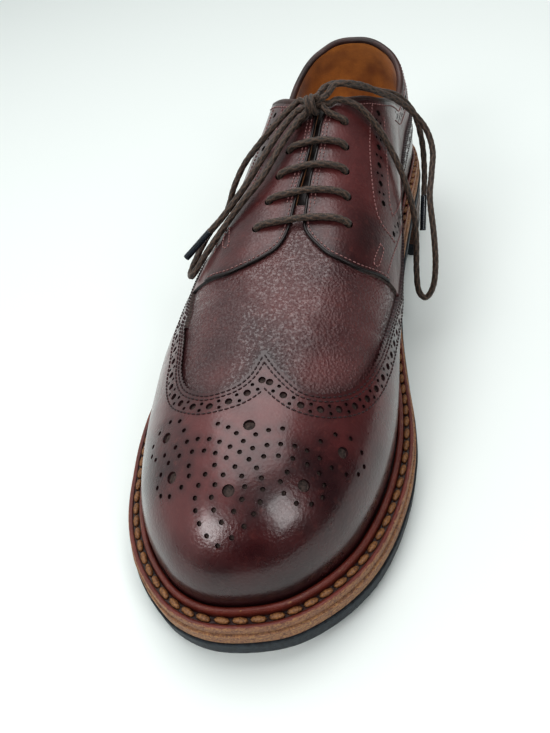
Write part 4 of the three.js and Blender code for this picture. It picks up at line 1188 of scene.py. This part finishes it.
def tubePiece(name, path, radius, sides, step, braid=0.0, strands=4, pitch=5.2):
    path = resample(path, step)
    count = len(path)
    turn = np.gradient(path, axis=0)
    turn /= np.linalg.norm(turn, axis=1)[:, None]
    side = np.zeros_like(path)
    start = np.cross(turn[0], (0.3, 0.2, 1.0))
    side[0] = start / np.linalg.norm(start)
    for i in range(1, count):
        moved = side[i - 1] - turn[i] * np.dot(side[i - 1], turn[i])
        side[i] = moved / np.linalg.norm(moved)
    lift = np.cross(turn, side)
    angle = 2 * math.pi * np.arange(sides) / sides
    run = np.concatenate([[0], np.cumsum(np.linalg.norm(np.diff(path, axis=0), axis=1))])
    size = np.broadcast_to(np.asarray(radius, float), (count,))
    wave = 2 * math.pi * run / pitch
    a, b = strands * angle[None] + wave[:, None], strands * angle[None] - wave[:, None]
    high = np.maximum(np.cos(a), np.cos(b))
    rings = size[:, None] * (1 - braid + braid * high)
    points = (path[:, None] + side[:, None] * (rings * np.cos(angle))[..., None]
              + lift[:, None] * (rings * np.sin(angle))[..., None]).reshape(-1, 3)
    faces = []
    for i in range(count - 1):
        for j in range(sides):
            k = (j + 1) % sides
            faces.append((i * sides + j, i * sides + k, (i + 1) * sides + k, (i + 1) * sides + j))
    ends = len(points)
    points = np.vstack([points, path[:1], path[-1:]])
    for j in range(sides):
        k = (j + 1) % sides
        faces.append((ends, k, j))
        faces.append((ends + 1, (count - 1) * sides + j, (count - 1) * sides + k))
    piece = newPiece(name, points * mm, faces)
    # painted shade: how deep each point lies between the strands
    valley_shade = np.append(np.clip(0.75 - high, 0, 1).ravel() if braid else np.zeros(count * sides), [0, 0])
    markPoints(piece, "valley_shade", valley_shade)
    recalculate = bmesh.new()
    recalculate.from_mesh(piece.data)
    bmesh.ops.recalc_face_normals(recalculate, faces=recalculate.faces)
    recalculate.to_mesh(piece.data)
    recalculate.free()
    piece.data.polygons.foreach_set("use_smooth", [True] * len(piece.data.polygons))
    return piece


# thick black paint along the cut edges of the facings
for line in facingEdges:
    bead = tubePiece("facing_edge_ink", line, inkSizes["radius"], inkSizes["sides"], inkSizes["step"])
    dress(bead, edgeInk)
    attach(bead, "root")

rollLine = splineThrough(rimPoints((upperSizes["layer"] - upperSizes["wall"]) / 2)[::3], 1.0)
roll = tubePiece("collar_roll", rollLine, rollSizes["radius"], rollSizes["sides"], rollSizes["step"])
dress(roll, rimCalf)
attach(roll, "root")
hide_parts("upper")

tongueOuter = -upperSizes["wall"] - soleSizes["clearance"]
tongue = lastBody("tongue_leather", tongueOuter, 0)
tongueInner = lastBody("tongueInner", tongueOuter - upperSizes["tongue"], 8)
tongueOutline = [*planPoints(tonguePlan, 1, 1.0), *planPoints(tonguePlan, 2, 1.0)[::-1]]
tongueRegion = prismPiece("tongueRegion", tongueOutline, lastSizes["instepHeight"] * 0.6, far)
combine(tongue, tongueInner, "DIFFERENCE")
combine(tongue, tongueRegion, "INTERSECT")
# near-black tongue: painted shade under the lacing
dress(tongue, tongueShadeCalf)
smoothShade(tongue, 36)
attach(tongue, "root")
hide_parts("tongue")
discard(skin, layerSkin, wingSkin, liningSkin, hollow, cavity, wingRegion, quarterRegion, collarCut,
        slitCut, eyeletPunch, tongueInner, tongueRegion)
print("stage: collar and tongue")

# Sole
def ringLoft(name, profile, endless=False):
    return loftPiece(name, [row(columns) for row in profile], endless)


def soleRow(share, step, level):
    return lambda cols: cols.flat(soleRadius(cols, step) * share, level)


def edgeRow(step, inset, level):
    return lambda cols: cols.flat(soleRadius(cols, step) - inset, level)


soleDetails = {  # in mm, but for the shares of the room on the welt and the seed of the wear
    "wear": 0.16, "wearSeed": 3, "ribShare": 0.4, "lipShare": 0.34, "grooveShare": 0.44,
    "liftInset": 0.4, "topPieceInset": 0.6, "bevel": 0.7, "breastArch": 4, "breastSteps": 24,
}
layers = {
    "outsole": (0.0, soleSizes["outsole"] - soleSizes["clearance"], soleSizes["outsoleStep"] - 0.4,
                soleSizes["outsoleStep"], 0.9),
    "midsole": (soleSizes["outsole"], soleSizes["outsole"] + soleSizes["midsole"] - soleSizes["clearance"],
                soleSizes["midsoleStep"], soleSizes["midsoleStep"], 0.5),
}
solePieces = {}
for name, (low, high, lowStep, highStep, bend) in layers.items():
    profile = [soleRow(0, 0, low), soleRow(0.5, lowStep, low), soleRow(0.85, lowStep, low)]
    profile += [edgeRow(lowStep, bend * (1 - math.sin(t)), low + bend * (1 - math.cos(t)))
                for t in (0, 0.4, 0.8, 1.2, math.pi / 2)]
    profile += [edgeRow(lowStep + (highStep - lowStep) * t, 0, low + bend + (high - low - 1.5 * bend) * t)
                for t in (0.25, 0.5, 0.75, 1)]
    profile += [edgeRow(highStep, 0.5 * bend * (1 - math.cos(t)), high - 0.5 * bend * (1 - math.sin(t)))
                for t in (0.5, 1.0, math.pi / 2)]
    profile += [soleRow(0.85, highStep, high), soleRow(0.5, highStep, high), soleRow(0, 0, high)]
    solePieces[name] = ringLoft(name + "_edge", profile)


# small unevenness of a trimmed and worn edge
def wearEdge(piece, amount, seed):
    random.seed(seed)
    phases = [random.uniform(0, 6.28) for _ in range(12)]
    for vertex in piece.data.vertices:
        x, y, z = vertex.co / mm
        turn = math.atan2(y + 120, x)
        push = sum(math.sin(turn * (17 + 9 * i) + phases[i] + z * (0.5 + 0.2 * i)) for i in range(6)) / 6
        vertex.co.x += math.cos(turn) * push * amount * mm
        vertex.co.y += math.sin(turn) * push * amount * mm


wearEdge(solePieces["midsole"], soleDetails["wear"], soleDetails["wearSeed"])
dress(solePieces["outsole"], rubberSole)
dress(solePieces["midsole"], midsoleEdge)

weltBase = soleSizes["outsole"] + soleSizes["midsole"]
weltTop = soleSizes["welt"] - soleSizes["clearance"]
ribHeight = soleSizes["ribHeight"]


def ribFoot(cols):  # the rib stands against the upper, wherever that leans out
    grow = wingGrow(cols)
    reach = cols.reach + grow
    for rise in np.linspace(0, 0.08, 30):
        p = cols.point(rise, grow)
        low = p[:, 2] - featherHeight(cols.along) < ribHeight + 0.6
        away = np.hypot(p[:, 0] - cols.base[:, 0], p[:, 1] - cols.base[:, 1])
        reach = np.where(low, np.maximum(reach, away), reach)
    return reach + 0.12


ribStart = ribFoot(columns)
weltRoom = soleRadius(columns, 0) - ribStart


def ribRow(share, level):
    width = np.minimum(soleSizes["ribWidth"] * 0.88, soleDetails["ribShare"] * weltRoom)
    return columns.flat(ribStart + width * share, weltBase + level)


def lipRow(share, level):
    width = np.minimum(soleSizes["lipWidth"], soleDetails["lipShare"] * weltRoom)
    return columns.flat(soleRadius(columns, 0) - width * share, weltBase + level)


weltProfile = [  # ring, wear, painted shade of the groove
    (columns.flat(columns.reach - soleSizes["weltInset"], weltBase), 0, 0),
    (lipRow(0.1, 0), 1.2, 0), (lipRow(0, 0.4), 1.2, 0), (lipRow(0, weltTop * 0.5), 1.2, 0),
    (lipRow(0, weltTop - 0.9), 1.1, 0), (lipRow(0.12, weltTop - 0.25), 0.7, 0),
    (lipRow(0.3, weltTop), 0.45, 0), (lipRow(0.65, weltTop), 0.3, 0),
    (lipRow(0.9, weltTop - 0.2), 0.1, 0.3), (lipRow(1, weltTop - 0.7), 0, 0.9),
    (ribRow(1.15, weltTop - 0.75), 0, 1), (ribRow(1.03, weltTop - 0.2), 0, 0.6),
    (ribRow(1, weltTop + 0.35 * ribHeight), 0.1, 0), (ribRow(0.93, weltTop + 0.68 * ribHeight), 0.35, 0),
    (ribRow(0.75, weltTop + 0.92 * ribHeight), 0.5, 0), (ribRow(0.5, weltTop + ribHeight), 0.3, 0),
    (ribRow(0.22, weltTop + 0.93 * ribHeight), 0, 0), (ribRow(0.04, weltTop + 0.7 * ribHeight), 0, 0.5),
    (ribRow(0, weltTop), 0, 1),
    (columns.flat(columns.reach - soleSizes["weltInset"], weltBase + weltTop), 0, 0),
]
welt = loftPiece("storm_welt", [ring for ring, _, _ in weltProfile], endless=True)
finder = pointFinder(np.vstack([ring for ring, _, _ in weltProfile]))
for label, column in (("wear", 1), ("groove", 2)):
    markPoints(welt, label, [weltProfile[finder.find(v.co / mm)[1] // columns.count][column]
                             for v in welt.data.vertices])
dress(welt, weltLeather)
solePieces["welt"] = welt

# big lockstitches in the groove of the welt
weltStitchSizes = {"pitch": 6.0, "length": 5.5, "width": 2.5, "height": 1.9, "slant": 0.10, "rise": 0.15}
ribReach = np.minimum(soleSizes["ribWidth"] * 0.97, soleDetails["grooveShare"] * weltRoom)
lipReach = np.minimum(soleSizes["lipWidth"], soleDetails["lipShare"] * weltRoom)
grooveLine = columns.flat((ribStart + ribReach + soleRadius(columns, 0) - lipReach) / 2,
                          weltBase + weltTop - 0.35)
grooveLine = np.vstack([grooveLine, grooveLine[:1]])
run = resample(grooveLine, 0.4)
count = int(round(len(run) * 0.4 / weltStitchSizes["pitch"]))
marks = np.linspace(0, len(run) - 1, count, endpoint=False).astype(int)
spots = run[marks]
heading = np.array([run[(m + 6) % (len(run) - 1)] - run[m - 6] for m in marks])
heading /= np.linalg.norm(heading, axis=1)[:, None]
facing = np.tile([0, 0, 1.0], (len(spots), 1))
slanted = heading + weltStitchSizes["slant"] * np.cross(heading, facing)
weltStitches = runGroup(
    "welt_stitching", stitchGroup, [(spots + facing * weltStitchSizes["rise"], facing, slanted)],
    {"Length": weltStitchSizes["length"] * mm, "Width": weltStitchSizes["width"] * mm,
     "Height": weltStitchSizes["height"] * mm}, weltThread)
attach(weltStitches, "root")

# insole with its sock
inside = columns.reach - soleSizes["weltInset"] - soleSizes["clearance"]
sockTop = weltBase + soleSizes["insole"]
insole = loftPiece("insole_sock", [
    columns.flat(0, weltBase), columns.flat(inside * 0.6, weltBase), columns.flat(inside, weltBase),
    columns.flat(inside, sockTop - 0.8), columns.flat(inside - 0.3, sockTop - 0.2),
    columns.flat(inside - 1.0, sockTop), columns.flat(inside * 0.6, sockTop), columns.flat(0, sockTop)])
dress(insole, sockLeather)
solePieces["insole"] = insole


# heel: inked lifts over a rubber top piece, cut straight at the breast
def heelOutline(step):
    ring = columns.flat(soleRadius(columns, step), 0)
    breast = stationY(lastSizes["heelBreast"])
    half = columns.count // 2
    medial = [tuple(p[:2]) for p in ring[:half] if p[1] > breast + 0.5]
    lateral = [tuple(p[:2]) for p in ring[half:] if p[1] > breast + 0.5]
    first, last = medial[-1], lateral[0]
    front = []
    for i in range(soleDetails["breastSteps"] + 1):
        share = i / soleDetails["breastSteps"]
        front.append((first[0] + (last[0] - first[0]) * i / soleDetails["breastSteps"],
                      breast + soleDetails["breastArch"] * math.sin(math.pi * share)))
    return medial + front + lateral


seatLine = []
for i in range(61):
    along = lastSizes["heelBreast"] + 0.03 - (lastSizes["heelBreast"] + 0.13) * i / 60
    seatLine.append((stationY(along), float(groundAt(along)) - soleSizes["clearance"]))
underSeat = prismPiece("underSeat", [*seatLine, (seatLine[-1][0], -10), (seatLine[0][0], -10)], -far, far,
                       sideways=True)
topStep = soleSizes["outsoleStep"] - soleDetails["topPieceInset"]
topPiece = prismPiece("heel_top_piece_rubber", heelOutline(topStep), 0, soleSizes["topPiece"])
lifts = None
liftCount, liftGap, liftSteps = 4, 0.12, (-0.05, 0.08)
liftLow = soleSizes["topPiece"] + soleSizes["clearance"]
liftRoom = soleSizes["heelHeight"] - liftLow
for i in range(liftCount):  # every second lift stands out a little, the last reaches into the seat
    low = liftLow + liftRoom * i / liftCount
    high = liftLow + liftRoom * (i + 1) / liftCount - liftGap
    if i == liftCount - 1:
        high = soleSizes["heelHeight"] + 4
    step = soleSizes["outsoleStep"] - soleDetails["liftInset"] + liftSteps[i % 2]
    lift = prismPiece("lift", heelOutline(step), low - 0.1, high)
    if lifts is None:
        lifts = lift
    else:
        combine(lifts, lift, "UNION")
        discard(lift)
lifts.name = "heel_lifts_leather"
combine(lifts, underSeat, "INTERSECT")
discard(underSeat)
bevel = topPiece.modifiers.new("round", "BEVEL")
bevel.width, bevel.segments, bevel.limit_method = soleDetails["bevel"] * mm, 3, "ANGLE"
bake(topPiece)
dress(topPiece, rubberSole)
dress(lifts, stackedLeather)
solePieces["topPiece"], solePieces["lifts"] = topPiece, lifts

for key, node, slot in (
        ("outsole", "outsole", "outsole_rubber"), ("midsole", "midsole", "midsole_leather"),
        ("welt", "welt", "welt_leather"), ("insole", "insole", "lining_leather"),
        ("topPiece", "heel_top_piece", "heel_rubber"), ("lifts", "heel_lifts", "heel_leather")):
    smoothShade(solePieces[key], 40)
    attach(solePieces[key], "root")
    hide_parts(node)
print("stage: sole")

# Lace
laceSizes = {
    "diameter": 2.8, "sides": 16, "step": 0.55, "braid": 0.1, "agletLength": 15.0, "agletDiameter": 3.0,
    "hiddenEnd": 4.6,
}
loopLateralPoints = [
    (-4.7, -76.2, 108.2), (-10, -82, 105.2), (-18, -88.5, 98.6), (-30, -86, 85.4),
    (-35.4, -91.5, 76.8), (-39.8, -97, 66.6), (-43, -112.5, 66), (-46.2, -122.5, 61.6),
    (-47.4, -131.5, 58.6), (-44.6, -135.8, 60.2), (-37.6, -130.6, 69), (-28.6, -123.4, 79),
    (-21.6, -118.8, 86.2), (-14.6, -111.6, 92.4), (-8.4, -96.8, 99.6), (-3.6, -86.4, 104),
]
endLateralPoints = [
    (-5, -82, 106.2), (-10, -90.6, 102.4), (-15, -102.4, 97.6), (-22.5, -112.5, 88.8),
    (-31, -121, 80.2), (-38, -124.5, 74),
]
loopMedialPoints = [
    (7.6, -76.4, 110.2), (10.4, -73.2, 112.8), (15.4, -72.2, 112.8), (20.6, -64.6, 108.2),
    (26, -58.6, 102.6), (32.4, -52.4, 96.4), (39, -48.4, 88.6), (45.6, -49.4, 80.2),
    (49, -54.4, 72.4), (49.4, -64, 66.4), (49.6, -75.4, 60.4), (52, -84, 49),
    (53.6, -91, 37), (53.2, -96.4, 27.4), (50.2, -99.4, 22.6), (46.8, -99, 26),
    (45.4, -94.6, 34.6), (44.6, -87, 46.4), (43, -82, 57.6), (38.2, -78.4, 73.4),
    (33, -76, 84.8), (27.6, -74.4, 94), (20.2, -73.6, 103), (12.2, -74, 106.8), (8.4, -76.4, 106.4),
]
endMedialPoints = [
    (4.2, -75, 110.4), (6, -70.6, 111.2), (11.6, -67.4, 111), (18, -59.4, 105.6),
    (24.8, -52.4, 100.4), (32.6, -45.8, 94.8), (39.4, -42.6, 85), (43.4, -46, 72.8),
    (45.2, -53.2, 61), (45.6, -60.8, 51.6),
]
knotCentre = np.array([1.9, -80.2, 107.8])
knotWrap = {"turns": 2.05, "start": 0.6, "halfLength": 2.0, "high": 3.3, "deep": 3.0}


def cordPiece(name, path):
    piece = tubePiece(name, path, laceSizes["diameter"] / 2, laceSizes["sides"], laceSizes["step"],
                      braid=laceSizes["braid"])
    dress(piece, lacing)
    return piece


def lengthOf(path):
    return float(np.sum(np.linalg.norm(np.diff(np.asarray(path), axis=0), axis=1)))


cords = {}
for name, points in (("lace_loop_lateral", loopLateralPoints), ("lace_loop_medial", loopMedialPoints),
                     ("lace_end_lateral", endLateralPoints), ("lace_end_medial", endMedialPoints)):
    path = splineThrough(points, laceSizes["step"])
    cords[name] = (cordPiece(name + "_braid", path), path)


def throughEyelet(eyelet, following):  # from the hidden end up to the skin, leaning to the next point
    place, normal = eyelet
    return [place - normal * laceSizes["hiddenEnd"], place - normal * 1.5,
            place + normal * 0.5 + (following - place) * 0.1]


# straight bars: up through one eyelet, across the throat and down through the other
bars = []
radius = laceSizes["diameter"] / 2
for row in range(1, 5):
    medial, lateral = eyeletPlaces[2 * row], eyeletPlaces[2 * row + 1]
    over = []
    for i in range(9):
        t = i / 8
        p = medial[0] * (1 - t) + lateral[0] * t
        place, normal = topHit(layerTree, p[0], p[1])
        hump = radius + 0.2 + 0.25 * math.sin(math.pi * t) ** 2
        over.append(np.array(place) + np.array(normal) * hump)
    inner = over[1:-1]
    path = [*throughEyelet(medial, over[1]), *inner, *throughEyelet(lateral, over[-2])[::-1]]
    bars.append(cordPiece("lace_bar", splineThrough(path, laceSizes["step"])))


def joined(name, parts):
    build = bmesh.new()
    for part in parts:
        build.from_mesh(part.data)
    piece = meshPiece(name, build)
    dress(piece, parts[0].data.materials[0])
    discard(*parts)
    return piece


laceBars = joined("lace_crossings", bars)
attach(laceBars, "root")
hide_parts("lace_bar_1", "lace_bar_2", "lace_bar_3", "lace_bar_4")

# knot: both top strands come out of their eyelets, and a strand is wrapped twice round the crossing
knotParts = []
for (place, normal), lead in ((eyeletPlaces[0], (3.5, 0.6, -0.8)), (eyeletPlaces[1], (-3.0, -0.8, -0.8))):
    middle = (place + knotCentre) / 2
    mid, midNormal = layerTree.find_nearest(Vector(middle))[:2]
    path = [place - normal * laceSizes["hiddenEnd"], place - normal * 1.5, place + normal * 0.9,
            np.array(mid) + np.array(midNormal) * 2.2, knotCentre + np.array(lead)]
    knotParts.append(cordPiece("lead", splineThrough(path, laceSizes["step"])))
through = np.array([0.94, 0.10, 0.05])
through /= np.linalg.norm(through)
upward = np.array([-0.1, -0.55, 0.83])
upward -= through * np.dot(upward, through)
upward /= np.linalg.norm(upward)
outward = np.cross(through, upward)
wrap = []
for i in range(61):
    t = i / 60
    angle = 2 * math.pi * (knotWrap["turns"] * t) - knotWrap["start"]
    wrap.append(knotCentre + through * knotWrap["halfLength"] * (2 * t - 1)
                + upward * knotWrap["high"] * math.cos(angle)
                + outward * knotWrap["deep"] * math.sin(angle))
knotParts.append(cordPiece("wrap", splineThrough(wrap, laceSizes["step"])))
for start in (loopLateralPoints[0], loopLateralPoints[-1], endLateralPoints[0],
              loopMedialPoints[0], loopMedialPoints[-1], endMedialPoints[0]):
    start = np.array(start, float)
    inward = knotCentre + (start - knotCentre) * 0.15
    stub = splineThrough([inward, (inward + start) / 2, start], laceSizes["step"])
    knotParts.append(cordPiece("stub", stub))
knot = joined("lace_knot_braid", knotParts)
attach(knot, "root")
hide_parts("lace_knot")

aglets = {}
agletReach = laceSizes["agletLength"] + 1.2
for name, cord in (("aglet_lateral", "lace_end_lateral"), ("aglet_medial", "lace_end_medial")):
    path = cords[cord][1]
    lead = path[-1] - path[-3]
    lead /= np.linalg.norm(lead)
    line = np.array([path[-1] + lead * (agletReach * i / 30 - 1.0) for i in range(31)])
    aglets[name] = tubePiece(name + "_tip", line, laceSizes["agletDiameter"] / 2 * 0.94, 14,
                             agletReach / 30)
    dress(aglets[name], agletPlastic)
    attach(aglets[name], "root")
    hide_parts(name)

for name, (piece, path) in cords.items():
    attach(piece, "root")
    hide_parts(name)
    print("cord", name, round(lengthOf(path), 1), "mm")
print("stage: lace")

# Floor, light and camera
studio = {
    "lens": 28.48, "place": (0.07218, -0.35505, 0.23300), "look": (-0.06370, 0.70547, -0.70587),
    "zoom": 1.2, "turn": 12.07,
    "brightSide": (-0.82, 0.42, 0.38), "darkSide": (0.1, -0.86, 0.5), "dim": 0.08, "bright": 0.7,
    "dimFrom": -0.35, "brightFrom": 0.75, "patchCore": 12, "patchEdge": 34, "patchShare": 0.12,
    "floorReach": 6, "floorLevel": -0.0004,
}
floor = newPiece("floor", [(x * studio["floorReach"], y * studio["floorReach"], studio["floorLevel"])
                           for x, y in ((-1, -1), (1, -1), (1, 1), (-1, 1))], [(0, 1, 2, 3)])
dress(floor, floorPaper)

world = bpy.data.worlds.new("studio")
bpy.context.scene.world = world
world.use_nodes = True
sky = world.node_tree
ray = addNode(sky, "ShaderNodeTexCoord").outputs["Generated"]
# bright from the left, the back and above, dim from the right
fromLeft = addNode(sky, "ShaderNodeVectorMath", {"operation": "DOT_PRODUCT"},
                   {1: studio["brightSide"]}, {0: ray})
sideShare = addNode(sky, "ShaderNodeMapRange", {"interpolation_type": "SMOOTHSTEP"}, {
    "From Min": studio["dimFrom"], "From Max": studio["brightFrom"],
    "To Min": studio["dim"], "To Max": studio["bright"]}, {"Value": fromLeft.outputs["Value"]})
# a dark patch where the photographer stands
fromCamera = addNode(sky, "ShaderNodeVectorMath", {"operation": "DOT_PRODUCT"},
                     {1: studio["darkSide"]}, {0: ray})
patch = addNode(sky, "ShaderNodeMapRange", {"interpolation_type": "SMOOTHSTEP"}, {
    "From Min": math.cos(math.radians(studio["patchEdge"])),
    "From Max": math.cos(math.radians(studio["patchCore"])),
    "To Min": 1.0, "To Max": studio["patchShare"]}, {"Value": fromCamera.outputs["Value"]})
glow = addNode(sky, "ShaderNodeMath", {"operation": "MULTIPLY"},
               links={0: sideShare.outputs["Result"], 1: patch.outputs["Result"]})
sky.links.new(glow.outputs["Value"], sky.nodes["Background"].inputs["Strength"])
sky.nodes["Background"].inputs["Color"].default_value = srgb("#f4f9f8")


def softBox(name, place, target, width, depth, power):
    light = bpy.data.lights.new(name, "AREA")
    light.shape, light.size, light.size_y, light.energy = "RECTANGLE", width, depth, power
    lamp = linkPiece(name, light)
    lamp.location = place
    lamp.rotation_euler = (Vector(target) - Vector(place)).to_track_quat("-Z", "Y").to_euler()


# name, place and target in metres, width, depth, power: one above, two that streak the toe
for lightBox in (
        ("overhead", (-0.10, 0.10, 1.15), (0.0, -0.1, 0.05), 0.95, 0.95, 6.2),
        ("window", (-0.385, -0.98, 0.765), (0, -0.24, 0.05), 0.46, 0.34, 3.6),
        ("lamp", (0.66, -0.66, 0.82), (0, -0.24, 0.05), 0.3, 0.55, 3.4)):
    softBox(*lightBox)

camera = bpy.data.cameras.new("camera")
camera.lens = studio["lens"] * studio["zoom"]
camera.sensor_width = 36
camera.clip_start = 0.01
view = linkPiece("camera", camera)
view.location = studio["place"]
# the shoe leans in the picture as it did before the camera was turned to centre it
ahead = np.array(studio["look"])
ahead /= np.linalg.norm(ahead)
toRight = np.cross(ahead, (0, 0, 1))
toRight /= np.linalg.norm(toRight)
upright = np.cross(toRight, ahead)
swing = math.radians(studio["turn"])
turnedRight = toRight * math.cos(swing) + ahead * math.sin(swing)
turnedAhead = ahead * math.cos(swing) - toRight * math.sin(swing)
view.rotation_euler = Matrix((turnedRight, upright, -turnedAhead)).transposed().to_euler()
bpy.context.scene.camera = view
bpy.context.scene.view_settings.view_transform = "Standard"
bpy.context.scene.view_settings.look = "Medium High Contrast"

print("stage: done")
